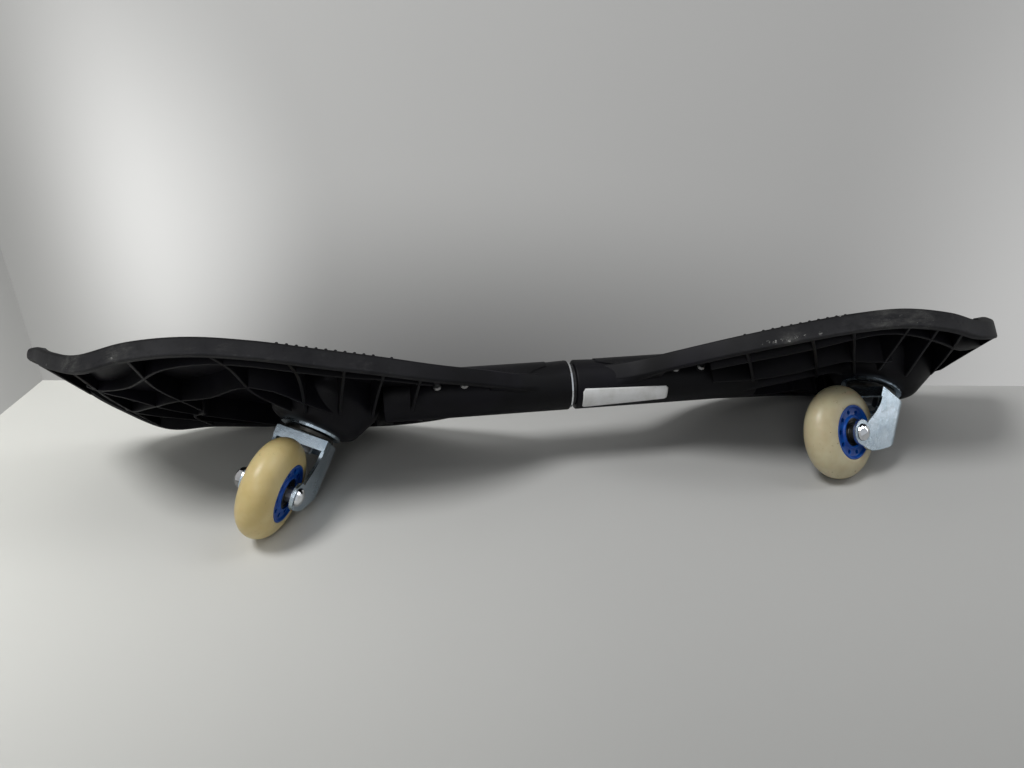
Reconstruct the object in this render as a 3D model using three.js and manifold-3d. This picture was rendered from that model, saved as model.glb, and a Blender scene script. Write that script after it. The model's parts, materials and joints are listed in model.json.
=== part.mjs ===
// A caster board: two moulded decks joined by a sprung neck, each rolling on one inclined swivel caster.
// Millimetres. In the board's own frame +X runs from the nose to the tail along the neck axis, +Z is up
// through the riding surface and the origin is on the neck axis at the joint between the two halves.
// The finished group lies as the board is put down: tipped over onto its two wheels and its far lips.
import * as THREE from "three";
import { mergeVertices } from "three/addons/utils/BufferGeometryUtils.js";
import Module from "manifold-3d";

const wasm = await Module();
wasm.setup();

// General fits
const seatGap = 0.3;
const overrun = 2;
const restCut = 0.5;
const sliver = 0.05;

// Neck
const neckRadius = 20;
const neckChamfer = 1.6;
const noseNeckFace = 3.4;
const washerThickness = 1.2;
const washerRadius = 18.6;
const neckRingThickness = 2.5;
const neckRingRadius = 16.8;
const sleeveRadius = 14.6;
const sleeveBore = 11;
const sleeveReach = 58;
const barRadius = 5;
const barReach = 77;
const anchorAcrossFlats = 20;
const anchorStart = 70;
const anchorLength = 44;
const crossBoltPitch = 21.1;
const crossBoltRadius = 1.8;
const crossBossRadius = 4.4;
const crossBossReach = 20.6;
const crossHeadRadius = 3.3;
const crossHeadHeight = 2.2;
const crossNutAcrossFlats = 6;
const crossNutHeight = 3.4;
const tubeLength = 150;
const shoulderStart = 22;
const shoulderEnd = 77;
const shoulderFoot = THREE.MathUtils.degToRad(26);

// Decks
const lipWall = 5;
const tipWall = 4;
const tipLength = 34;
const tipLipShare = 0.75;
const lipRound = 4.2;
const lipFootRound = 2.4;
const skinThickness = 3;
const dishDepth = 2;
const ribThickness = 2.8;
const ribRecess = 1.2;
const keelDepth = 30;
const humpStart = 88;
const humpEnd = 165;

// Casters
const casterIncline = THREE.MathUtils.degToRad(25);
const casterDrop = 20.6;
const pedestalFootRadius = 27;
const pedestalRadius = 33.5;
const pedestalChamfer = 3.5;
const pedestalFlareRadius = 43;
const pedestalFlareHeight = 24;
const swingShares = [[0.73, 0], [1.16, 0.15], [1.51, 0.42], [1.89, 0.75], [2.15, 1.35], [2.15, 2.15]];
const swingDrop = 37;
const plateRadius = 23.5;
const plateThickness = 2;
const raceRadius = 19.5;
const raceThickness = 4.2;
const raceLip = 0.9;
const lowerRaceRadius = 11;
const lowerRaceThickness = 1.6;
const kingpinRadius = 4;
const kingpinHeadAcrossFlats = 13;
const kingpinHeadHeight = 7;
const kingpinReach = 18;
const insertRadius = 8;
const insertHeight = 12;
const insertRoof = 9;
const axleDrop = 53.5;
const axleTrail = 29;

// Fork
const crownThickness = 2.4;
const crownFront = 22.5;
const crownBack = 15.4;
const crownCorner = 11;
const crownSkirt = 8.4;
const forkHalfWidth = 20.6;
const forkWall = 2.4;
const forkSlot = 16;
const bossRadius = 10;
const legBackShares = [[0.47, 0.22], [0.49, 0.4], [0.64, 0.6], [0.8, 0.74]];
const legFrontShares = [[0.4, 1.15], [-0.1, 1.01], [-0.5, 0.86], [-0.66, 0.72]];

// Wheel, with bearings of 22 mm outside and 8 mm bore
const wheelRadius = 38;
const tyreHalfWidth = 13.4;
const shoulderRadius = 22.4;
const hubRadius = 21.6;
const hubHalfWidth = 13.4;
const hubDish = 1.6;
const hubRim = 2.2;
const hubBore = 8.6;
const pocketCount = 10;
const pocketRadius = 1.9;
const pocketDepth = 3.5;
const bearingRadius = 11;
const bearingWidth = 7;
const bearingBore = 4.1;
const bearingRaceWall = 1.9;
const shieldDepth = 0.5;
const bearingInset = 1;
const spacerRadius = 5.8;

// Axle bolt
const axleRadius = 3.8;
const axleHeadRadius = 7;
const axleHeadHeight = 3.7;
const axleNutAcrossFlats = 13;
const axleNutHeight = 5.5;
const axleNutDome = 2;

// Steps that round shapes are cut into
const wheelSides = 28;
const neckSides = 24;
const sides = 18;
const smallSides = 12;
const pocketSides = 6;
const tyreSteps = 5;
const rimSteps = 17;
const acrossSteps = 8;
const shoulderSteps = 3;

const black = () => new THREE.MeshStandardMaterial({ color: 0x26272b, roughness: 0.62, metalness: 0 });
const zinc = () => new THREE.MeshStandardMaterial({ color: 0xb6c2c9, roughness: 0.34, metalness: 1 });
const steel = () => new THREE.MeshStandardMaterial({ color: 0x85888c, roughness: 0.4, metalness: 1 });
const chrome = () => new THREE.MeshStandardMaterial({ color: 0xdfe2e6, roughness: 0.12, metalness: 1 });
const cream = () => new THREE.MeshStandardMaterial({ color: 0xe6ddb4, roughness: 0.45, metalness: 0 });
const blue = () => new THREE.MeshStandardMaterial({ color: 0x0a55b4, roughness: 0.35, metalness: 0 });
const nylon = () => new THREE.MeshStandardMaterial({ color: 0x151516, roughness: 0.8, metalness: 0 });

// The two decks. A rim is shares of the length, the half width and the tip's rise, from the neck to the tip.
// A keel is shares of the length and of the keel's depth, above or below the neck axis. A rib is a line of
// shares of the length and of the half width there.
const noseDeck = {
  name: "nose",
  side: -1,
  length: 416,
  halfWidth: 112.4,
  lipHeight: 13,
  tipRise: 57,
  neckFace: noseNeckFace,
  casterPlace: 206.9,
  crossBoltPlace: 87.7,
  crossBoltRise: 0.4,
  swivel: THREE.MathUtils.degToRad(-95.3),
  rimShares: [
    [0.05, 0.158, 0.12],
    [0.085, 0.19, 0.11],
    [0.115, 0.235, 0.105],
    [0.172, 0.385, 0.1],
    [0.257, 0.585, 0.095],
    [0.354, 0.77, 0.14],
    [0.451, 0.885, 0.215],
    [0.547, 0.97, 0.305],
    [0.644, 1, 0.375],
    [0.74, 0.93, 0.4],
    [0.822, 0.815, 0.36],
    [0.9, 0.545, 0.6],
    [0.965, 0.21, 0.9],
    [1, 0, 1],
  ],
  keelShares: [[0.1, -0.6], [0.36, -0.64], [0.41, -0.92], [0.5, -0.84], [0.62, -0.3], [0.82, 0.3], [1, 1.45]],
  ribShares: [
    [[0.27, -0.86], [0.42, -0.88], [0.6, -0.88], [0.69, -0.8], [0.79, -0.48], [0.855, -0.4]],
    [[0.615, -1], [0.592, -0.83], [0.568, -0.48], [0.52, -0.31]],
    [[0.739, -1], [0.734, -0.41], [0.69, -0.05]],
    [[0.43, -0.28], [0.56, -0.6], [0.656, -0.33], [0.729, -0.18], [0.859, 0.48]],
    [[0.497, -1], [0.488, -0.83], [0.495, -0.3]],
    [[0.411, -1], [0.438, -0.3]],
    [[0.349, -1], [0.382, -0.2]],
    [[0.29, -1], [0.31, -0.2]],
    [[0.833, -1], [0.85, 0], [0.833, 1]],
    [[0.93, -1], [0.93, 1]],
  ],
};
const tailDeck = {
  name: "tail",
  side: 1,
  length: 374,
  halfWidth: 103.8,
  lipHeight: 14.4,
  tipRise: 35,
  neckFace: washerThickness + neckRingThickness + 3 * seatGap - noseNeckFace,
  casterPlace: 255.6,
  crossBoltPlace: 81.5,
  crossBoltRise: 2.4,
  swivel: THREE.MathUtils.degToRad(-149),
  rimShares: [
    [0.05, 0.16, 0.3],
    [0.092, 0.2, 0.295],
    [0.132, 0.25, 0.3],
    [0.204, 0.425, 0.31],
    [0.295, 0.645, 0.32],
    [0.4, 0.825, 0.355],
    [0.505, 0.945, 0.4],
    [0.609, 1, 0.4],
    [0.713, 0.965, 0.28],
    [0.79, 0.84, 0.2],
    [0.86, 0.68, 0.3],
    [0.925, 0.42, 0.52],
    [0.975, 0.2, 0.8],
    [1, 0, 1],
  ],
  keelShares: [
    [0.1, -0.64],
    [0.47, -0.66],
    [0.56, -0.55],
    [0.63, -0.9],
    [0.745, -1],
    [0.815, -0.6],
    [0.915, 0],
    [1, 0.7],
  ],
  ribShares: [
    [[0.27, -0.74], [0.435, -0.78], [0.6, -0.9], [0.73, -0.81], [0.8, -0.74], [0.92, -0.7]],
    [[0.29, -0.4], [0.39, -0.34], [0.585, -0.48], [0.65, -0.54]],
    [[0.36, -0.1], [0.49, -0.24], [0.58, -0.26]],
    [[0.32, -1], [0.38, -0.3]],
    [[0.435, -1], [0.53, -0.2]],
    [[0.51, -1], [0.6, -0.3]],
    [[0.62, -1], [0.64, -0.4]],
    [[0.68, -1], [0.72, -0.2]],
    [[0.74, -1], [0.8, -0.2]],
    [[0.88, -1], [0.86, 0], [0.88, 1]],
  ],
};

// Places down the swivel axis, from the pedestal's face
const plateTop = -seatGap;
const raceTop = plateTop - plateThickness - seatGap;
const crownTop = raceTop - raceThickness - seatGap;
const crownFoot = crownTop - crownThickness;
const lowerRaceTop = crownFoot - seatGap;
const kingpinHeadTop = lowerRaceTop - lowerRaceThickness - seatGap;
const kingpinBore = kingpinRadius + seatGap;

// A closed solid from vertex positions and triangles, turned so that its faces point out.
function closedSolid(positions, triangles) {
  const geometry = new THREE.BufferGeometry();
  geometry.setAttribute("position", new THREE.Float32BufferAttribute(positions, 3));
  geometry.setIndex(triangles);
  return solidOf(geometry);
}

function solidOf(geometry) {
  const bare = geometry.clone();
  bare.deleteAttribute("normal");
  bare.deleteAttribute("uv");
  const merged = mergeVertices(bare, 1e-4);
  const index = merged.index.array;
  const kept = [];
  for (let i = 0; i < index.length; i += 3) {
    const [a, b, c] = [index[i], index[i + 1], index[i + 2]];
    if (a !== b && b !== c && c !== a) kept.push(a, b, c);
  }
  const vertProperties = new Float32Array(merged.attributes.position.array);
  const build = (triVerts) => new wasm.Manifold(new wasm.Mesh({ numProp: 3, vertProperties, triVerts }));
  const made = build(new Uint32Array(kept));
  if (made.volume() > 0) return made;
  return build(new Uint32Array(kept.reverse()));
}

function geometryOf(solid) {
  const { vertProperties, triVerts } = solid.getMesh();
  const geometry = new THREE.BufferGeometry();
  geometry.setAttribute("position", new THREE.BufferAttribute(new Float32Array(vertProperties), 3));
  geometry.setIndex(new THREE.BufferAttribute(new Uint32Array(triVerts), 1));
  geometry.computeVertexNormals();
  return geometry;
}

function meshOf(name, solid, material) {
  const mesh = new THREE.Mesh(geometryOf(solid), material);
  mesh.name = name;
  return mesh;
}

const union = (solids) => solids.reduce((all, next) => all.add(next));
const lessAll = (solid, cuts) => cuts.reduce((left, cut) => left.subtract(cut), solid);
const mix = THREE.MathUtils.lerp;

// A profile of [radius, height] pairs turned about +Z.
function turned(profile, count = sides) {
  const points = profile.map(([radius, height]) => new THREE.Vector2(radius, height));
  return solidOf(new THREE.LatheGeometry(points, count).rotateX(Math.PI / 2));
}

// A closed ring profile: the first point is repeated at the end.
const ring = (profile, count) => turned([...profile, profile[0]], count);
const disc = (radius, low, high, count) => turned([[0, low], [radius, low], [radius, high], [0, high]], count);
const tube = (bore, radius, low, high, count) =>
  ring([[bore, low], [radius, low], [radius, high], [bore, high]], count);

// A hexagonal bar about +Z.
function hexBar(acrossFlats, low, high) {
  const corner = acrossFlats / Math.sqrt(3);
  const bar = new THREE.CylinderGeometry(corner, corner, high - low, 6);
  return solidOf(bar.rotateX(Math.PI / 2).translate(0, 0, (low + high) / 2));
}

const placed = (solid, matrix) => solidOf(geometryOf(solid).applyMatrix4(matrix));
const alongX = new THREE.Matrix4().makeRotationY(Math.PI / 2);
const alongY = new THREE.Matrix4().makeRotationX(-Math.PI / 2);
const againstY = new THREE.Matrix4().makeRotationX(Math.PI / 2);

// Sections of equal point counts joined one after another. The flat shape gives both ends' triangles.
function lofted(sections, flat) {
  const positions = sections.flat().flatMap((point) => [point.x, point.y, point.z]);
  const count = flat.length;
  const triangles = [];
  for (let row = 0; row + 1 < sections.length; row++) {
    for (let i = 0; i < count; i++) {
      const here = row * count + i;
      const next = row * count + ((i + 1) % count);
      triangles.push(here, next, here + count);
      triangles.push(next, next + count, here + count);
    }
  }
  const turn = Math.sign(THREE.ShapeUtils.area(flat));
  const last = (sections.length - 1) * count;
  for (const face of THREE.ShapeUtils.triangulateShape(flat, [])) {
    const faceTurn = Math.sign(THREE.ShapeUtils.area(face.map((i) => flat[i])));
    const [a, b, c] = faceTurn === turn ? face : [face[0], face[2], face[1]];
    triangles.push(a, c, b);
    triangles.push(last + a, last + b, last + c);
  }
  return closedSolid(positions, triangles);
}

// The rim of a deck as points on the lip's outer top edge, with the outward direction at each.
function rimOf(deck) {
  const near = deck.rimShares.map(
    ([along, out, high]) => new THREE.Vector3(along * deck.length, -out * deck.halfWidth, high * deck.tipRise),
  );
  const far = near.slice(0, -1).reverse();
  const mirrored = far.map((point) => new THREE.Vector3(point.x, -point.y, point.z));
  const curve = new THREE.CatmullRomCurve3([...near, ...mirrored], false, "centripetal");
  return Array.from({ length: 2 * rimSteps + 1 }, (_, i) => {
    const share = i / (2 * rimSteps);
    const heading = curve.getTangentAt(share);
    const outward = new THREE.Vector3(heading.y, -heading.x, 0).normalize();
    return { point: curve.getPointAt(share), outward: outward };
  });
}

// Half width and lip height of a deck at a distance along it.
function rimAt(deck, along) {
  const half = deck.rim.slice(0, rimSteps + 1).map((place) => place.point);
  let i = 1;
  while (i < rimSteps && half[i].x < along) i++;
  const share = THREE.MathUtils.clamp((along - half[i - 1].x) / (half[i].x - half[i - 1].x), 0, 1);
  return { out: -mix(half[i - 1].y, half[i].y, share), high: mix(half[i - 1].z, half[i].z, share) };
}

// The riding surface: a shallow dish between the lips, with the neck's crown fading into it.
function topHeight(deck, along, across) {
  const { out, high } = rimAt(deck, along);
  const fromMiddle = Math.min(1, Math.abs(across) / Math.max(out, ribThickness));
  const dish = dishDepth * (1 - fromMiddle ** 2) * Math.min(1, out / deck.halfWidth);
  const fade = 1 - THREE.MathUtils.smoothstep(along, humpStart, humpEnd);
  const tubeTop = Math.sqrt(Math.max(0, neckRadius ** 2 - across ** 2));
  return high - dish + Math.max(0, tubeTop - high + dish) * fade;
}

// The lower edge of the ribs: from the lip's foot at the rim down to the keel in the middle.
function bellyHeight(deck, along, across) {
  const { out, high } = rimAt(deck, along);
  const foot = high - deck.lipHeight + ribRecess;
  const keel = deck.keelShares;
  let i = 1;
  while (i < keel.length - 1 && keel[i][0] * deck.length < along) i++;
  const [[start, startHigh], [end, endHigh]] = [keel[i - 1], keel[i]];
  const share = THREE.MathUtils.clamp((along / deck.length - start) / (end - start), 0, 1);
  const keelHigh = Math.min(foot, mix(startHigh, endHigh, share) * keelDepth);
  return mix(keelHigh, foot, Math.min(1, Math.abs(across) / Math.max(out, ribThickness)));
}

const flipped = (deck, point) => new THREE.Vector3(deck.side * point.x, point.y, point.z);

// A slab as wide as the deck, from low to high, both measured from the riding surface.
function deckSlab(deck, low, high) {
  const rows = deck.rim.slice(0, rimSteps + 1).map(({ point, outward }) => {
    const edge = point.clone().addScaledVector(outward, -lipWall / 2);
    const column = Array.from({ length: acrossSteps + 1 }, (_, j) => {
      const share = (2 * j) / acrossSteps - 1;
      const across = Math.sign(share) * Math.abs(share) ** 1.5 * edge.y;
      return new THREE.Vector3(edge.x, across, topHeight(deck, edge.x, across));
    });
    const lower = column.map((place) => place.clone().setZ(place.z + low)).reverse();
    return [...column.map((place) => place.clone().setZ(place.z + high)), ...lower];
  });
  const flat = rows[0].map((place) => new THREE.Vector2(place.y, place.z));
  return lofted(rows.map((row) => row.map((place) => flipped(deck, place))), flat);
}

// The lip's section, from its inner foot round the outside to its inner top.
function lipSection(wall, height) {
  return [
    [-wall, -height],
    [-lipFootRound, -height],
    [0, lipFootRound - height],
    [0, -lipRound],
    [-lipRound / 4, -lipRound / 4],
    [-lipRound, 0],
    [-wall, -dishDepth / 4],
  ];
}

// The rounded lip, swept round the rim from the neck to the tip and back, thicker and lower at the tip.
function deckLip(deck) {
  const rows = deck.rim.map(({ point, outward }) => {
    const nearTip = THREE.MathUtils.smoothstep(point.x, deck.length - tipLength, deck.length);
    const height = deck.lipHeight * mix(1, tipLipShare, nearTip);
    return lipSection(lipWall + tipWall * nearTip, height).map(([out, high]) => {
      const place = point.clone().addScaledVector(outward, out);
      return flipped(deck, place.setZ(place.z + high));
    });
  });
  const flat = lipSection(lipWall, deck.lipHeight).map(([out, high]) => new THREE.Vector2(out, high));
  return lofted(rows, flat);
}

// The shoulders that run both lips smoothly into the sides of the neck's tube.
function neckShoulders(deck) {
  const stations = Array.from({ length: shoulderSteps + 1 }, (_, i) => {
    const along = mix(shoulderStart, shoulderEnd, i / shoulderSteps);
    const { out, high } = rimAt(deck, along);
    const corners = [
      [neckRadius / 2, 0],
      [neckRadius * Math.cos(shoulderFoot), -neckRadius * Math.sin(shoulderFoot)],
      [out - lipFootRound, high - deck.lipHeight],
      [out, high - deck.lipHeight + lipFootRound],
      [out, high - lipRound],
      [out - lipWall, high - skinThickness / 2],
      [neckRadius / 2, high - skinThickness],
    ];
    return corners.map(([across, up]) => flipped(deck, new THREE.Vector3(along, -across, up)).toArray());
  });
  const near = union(stations.slice(1).map((row, i) => wasm.Manifold.hull([...stations[i], ...row])));
  return near.add(near.mirror([0, 1, 0]));
}

// One rib: a thin wall along its line, from the middle of the skin down to the belly.
function deckRib(deck, line) {
  const places = line.map(([share, out]) => {
    const along = share * deck.length;
    return new THREE.Vector2(along, out * (rimAt(deck, along).out - lipWall / 2));
  });
  const rows = places.map((place, i) => {
    const before = places[Math.max(0, i - 1)];
    const after = places[Math.min(places.length - 1, i + 1)];
    const aside = after.clone().sub(before).normalize().rotateAround(new THREE.Vector2(), Math.PI / 2);
    const top = topHeight(deck, place.x, place.y) - skinThickness / 2;
    const foot = Math.min(bellyHeight(deck, place.x, place.y), top - skinThickness);
    const corners = [[-1, foot], [1, foot], [1, top], [-1, top]];
    return corners.map(([turn, high]) => {
      const shift = (turn * ribThickness) / 2;
      return flipped(deck, new THREE.Vector3(place.x + shift * aside.x, place.y + shift * aside.y, high));
    });
  });
  return lofted(rows, [[-1, -1], [1, -1], [1, 1], [-1, 1]].map(([x, y]) => new THREE.Vector2(x, y)));
}

// Each half's own lengthwise direction, for what is turned about the neck axis.
function neckMatrix(deck) {
  return new THREE.Matrix4().makeRotationY((deck.side * Math.PI) / 2);
}

// A caster's own frame: origin on the pedestal's face, +Z up along the swivel axis.
function casterMatrix(deck) {
  const matrix = new THREE.Matrix4().makeRotationY(casterIncline);
  return matrix.setPosition(deck.side * deck.casterPlace, 0, -casterDrop);
}

// Where the two cross bolts lie, along Y a little above or below the neck axis.
const crossBoltPlaces = (deck) => [deck.crossBoltPlace, deck.crossBoltPlace + crossBoltPitch];

function crossMatrix(deck, place) {
  return alongY.clone().setPosition(deck.side * place, 0, deck.crossBoltRise);
}

// The neck of one half with its cross bolt bosses, before it is bored.
function neckBody(deck) {
  const tubeBody = turned(
    [
      [0, deck.neckFace],
      [neckRadius - neckChamfer, deck.neckFace],
      [neckRadius, deck.neckFace + neckChamfer],
      [neckRadius, tubeLength],
      [0, tubeLength],
    ],
    neckSides,
  );
  const bosses = crossBoltPlaces(deck).map((place) => {
    const boss = disc(crossBossRadius, -crossBossReach, crossBossReach, smallSides);
    return placed(boss, crossMatrix(deck, place));
  });
  return union([placed(tubeBody, neckMatrix(deck)), ...bosses]);
}

// The hole of a cross bolt, with room for its head and nut outside the bosses.
function crossSpace(deck, place) {
  const around = Math.max(crossHeadRadius, crossNutAcrossFlats / Math.sqrt(3)) + seatGap;
  const reach = crossBossReach + crossHeadHeight + crossNutHeight;
  const hole = disc(crossBoltRadius + seatGap, -neckRadius - overrun, neckRadius + overrun, smallSides);
  const headRoom = disc(around, -reach, -crossBossReach, smallSides);
  const nutRoom = disc(around, crossBossReach, reach, smallSides);
  return placed(union([hole, headRoom, nutRoom]), crossMatrix(deck, place));
}

// The spaces inside the neck: the sleeve's bore, the keyed pocket of the bar anchor and the cross bolt holes.
function neckSpaces(deck) {
  const bore = disc(sleeveRadius + seatGap, -overrun, sleeveReach + seatGap, neckSides);
  const anchorEnd = anchorStart + anchorLength + seatGap;
  const pocket = hexBar(anchorAcrossFlats + 2 * seatGap, 0, anchorEnd);
  const holes = crossBoltPlaces(deck).map((place) => crossSpace(deck, place));
  return [placed(bore.add(pocket), neckMatrix(deck)), ...holes];
}

// The pedestal's bore and pocket for the kingpin and its insert, and the room that the caster swings in.
function casterSpaces(deck) {
  const swing = swingShares.map(([out, down]) => [out * pedestalRadius, -down * swingDrop]);
  const foot = swing[swing.length - 1][1];
  const spaces = union([
    turned([[0, foot], ...swing.slice().reverse(), [0, 0]]),
    disc(kingpinBore, -overrun, insertRoof, smallSides),
    disc(insertRadius + seatGap, insertRoof - seatGap, insertRoof + insertHeight + seatGap, smallSides),
  ]);
  return placed(spaces, casterMatrix(deck));
}

function deckSolid(deck) {
  const pedestal = turned([
    [0, 0],
    [pedestalFootRadius, 0],
    [pedestalRadius, pedestalChamfer],
    [pedestalFlareRadius, pedestalFlareHeight],
    [pedestalFlareRadius, 2 * pedestalRadius],
    [0, 2 * pedestalRadius],
  ]);
  const deep = 2 * deck.halfWidth;
  const belowSkin = deckSlab(deck, -deep, -skinThickness / 2);
  const aboveSkin = deckSlab(deck, -skinThickness / 2, deep);
  const mirroredShares = deck.ribShares.map((line) => line.map(([along, out]) => [along, -out]));
  const ribs = union([...deck.ribShares, ...mirroredShares].map((line) => deckRib(deck, line)));
  const whole = union([
    deckSlab(deck, -skinThickness, 0),
    deckLip(deck),
    neckShoulders(deck),
    neckBody(deck).subtract(aboveSkin),
    placed(pedestal, casterMatrix(deck)).add(ribs).intersect(belowSkin),
  ]);
  return moulded(lessAll(whole, [casterSpaces(deck), ...neckSpaces(deck)]));
}

// A space closed on all sides can't be moulded, so it is filled.
function moulded(solid) {
  return union(solid.decompose().filter((shell) => shell.volume() > 0)).asOriginal().simplify(sliver);
}

// What sits inside the neck, all turned about the neck axis.
function neckParts(group) {
  const washerLow = seatGap - noseNeckFace;
  const ringLow = washerLow + washerThickness + seatGap;
  const bore = sleeveRadius + seatGap;
  const pieces = [
    ["torsion_bar", disc(barRadius, -barReach, barReach, smallSides), steel()],
    ["pivot_sleeve", tube(sleeveBore, sleeveRadius, -sleeveReach, sleeveReach, sides), steel()],
    ["thrust_washer", tube(bore, washerRadius, washerLow, washerLow + washerThickness, neckSides), chrome()],
    ["neck_ring", tube(bore, neckRingRadius, ringLow, ringLow + neckRingThickness, neckSides), nylon()],
  ];
  for (const [name, solid, material] of pieces) group.add(meshOf(name, placed(solid, alongX), material));
}

// The keyed block that grips one end of the torsion bar, and the bolts and nuts across it.
function neckAnchor(deck, group) {
  const block = hexBar(anchorAcrossFlats, anchorStart, anchorStart + anchorLength);
  const socket = disc(barRadius + seatGap, 0, barReach + seatGap, smallSides);
  const holes = crossBoltPlaces(deck).map((place) => {
    const hole = disc(crossBoltRadius + seatGap, -neckRadius, neckRadius, smallSides);
    return placed(hole, crossMatrix(deck, place));
  });
  const anchor = lessAll(placed(block.subtract(socket), neckMatrix(deck)), holes);
  group.add(meshOf(`${deck.name}_bar_anchor`, anchor, steel()));
  const headLow = crossBossReach + seatGap;
  const nutEnd = headLow + crossNutHeight;
  crossBoltPlaces(deck).forEach((place, i) => {
    const bolt = turned([
      [0, -headLow - crossHeadHeight],
      [crossHeadRadius * 0.6, -headLow - crossHeadHeight],
      [crossHeadRadius, -headLow - crossHeadHeight / 3],
      [crossHeadRadius, -headLow],
      [crossBoltRadius, -headLow],
      [crossBoltRadius, nutEnd + seatGap],
      [0, nutEnd + seatGap],
    ], smallSides);
    const nut = hexBar(crossNutAcrossFlats, headLow, nutEnd);
    const bored = nut.subtract(disc(crossBoltRadius + seatGap, 0, nutEnd + overrun, smallSides));
    const across = crossMatrix(deck, place);
    group.add(meshOf(`${deck.name}_cross_bolt_${i + 1}`, placed(bolt, across), chrome()));
    group.add(meshOf(`${deck.name}_cross_nut_${i + 1}`, placed(bored, across), steel()));
  });
}

// The pieces of a caster that stay with the deck: plate, race ring, kingpin and its moulded-in insert.
function casterSeat(deck, group) {
  const plate = ring([
    [kingpinBore, plateTop - plateThickness],
    [plateRadius, plateTop - plateThickness],
    [plateRadius, plateTop],
    [kingpinBore, plateTop],
  ], wheelSides);
  const race = ring([
    [kingpinBore, raceTop - raceThickness],
    [raceRadius - raceLip, raceTop - raceThickness],
    [raceRadius, raceTop - raceThickness + raceLip],
    [raceRadius, raceTop - raceLip],
    [raceRadius - raceLip, raceTop],
    [kingpinBore, raceTop],
  ], wheelSides);
  const headFoot = kingpinHeadTop - kingpinHeadHeight;
  const shank = disc(kingpinRadius, kingpinHeadTop - seatGap, kingpinReach, smallSides);
  const kingpin = hexBar(kingpinHeadAcrossFlats, headFoot, kingpinHeadTop).add(shank);
  const insert = tube(kingpinBore, insertRadius, insertRoof, insertRoof + insertHeight, smallSides);
  group.add(meshOf(`${deck.name}_mounting_plate`, plate, zinc()));
  group.add(meshOf(`${deck.name}_race_ring`, race, zinc()));
  group.add(meshOf(`${deck.name}_kingpin_bolt`, kingpin, steel()));
  group.add(meshOf(`${deck.name}_kingpin_insert`, insert, steel()));
}

// The fork's outline in plan, with round front corners, open towards the wheel.
function forkPlan(half, front, corner, back) {
  const plan = new THREE.Shape();
  plan.moveTo(back, -half);
  plan.lineTo(back, half);
  plan.lineTo(corner - front, half);
  plan.absarc(corner - front, half - corner, corner, Math.PI / 2, Math.PI, false);
  plan.absarc(corner - front, corner - half, corner, Math.PI, 1.5 * Math.PI, false);
  plan.closePath();
  return plan;
}

function forkBlock(inset, back, low, high) {
  const plan = forkPlan(forkHalfWidth - inset, crownFront - inset, crownCorner - inset, back);
  const block = new THREE.ExtrudeGeometry(plan, { depth: high - low, bevelEnabled: false, curveSegments: 5 });
  return solidOf(block.translate(0, 0, low));
}

// The side outline of both legs, from the crown down round the axle boss.
function legSides() {
  const outline = new THREE.Shape();
  outline.moveTo(-crownFront - overrun, crownTop);
  outline.lineTo(legBackShares[0][0] * axleTrail, crownTop);
  outline.splineThru(legBackShares.map(([out, down]) => new THREE.Vector2(out * axleTrail, -down * axleDrop)));
  outline.absarc(axleTrail, -axleDrop, bossRadius, THREE.MathUtils.degToRad(110), -Math.PI / 1.7, true);
  outline.splineThru(legFrontShares.map(([out, down]) => new THREE.Vector2(out * axleTrail, -down * axleDrop)));
  outline.closePath();
  const wide = 2 * (forkHalfWidth + overrun);
  const block = new THREE.ExtrudeGeometry(outline, { depth: wide, bevelEnabled: false, curveSegments: 8 });
  return solidOf(block.rotateX(Math.PI / 2).translate(0, wide / 2, 0));
}

function forkSolid() {
  const legEnd = axleTrail + 2 * bossRadius;
  const legFoot = -axleDrop - 2 * bossRadius;
  const legs = forkBlock(0, legEnd, legFoot, crownTop)
    .subtract(forkBlock(forkWall, legEnd + overrun, legFoot - overrun, crownFoot))
    .intersect(legSides());
  const crown = forkBlock(0, crownBack, crownTop - crownSkirt, crownTop);
  const inside = forkBlock(forkWall, crownBack - forkWall, legFoot - overrun, crownFoot);
  const slot = new THREE.BoxGeometry(crownFront, forkSlot, axleDrop);
  slot.translate(-crownFront, 0, crownTop - crownSkirt - axleDrop / 2);
  const axleHole = disc(axleRadius + seatGap, -forkHalfWidth - overrun, forkHalfWidth + overrun, smallSides);
  const kingpinHole = disc(kingpinBore, crownFoot - overrun, crownTop + overrun, smallSides);
  const axle = alongY.clone().setPosition(axleTrail, 0, -axleDrop);
  const holes = [solidOf(slot), placed(axleHole, axle), kingpinHole];
  return lessAll(legs.add(crown.subtract(inside)), holes).asOriginal().simplify(sliver);
}

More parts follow.
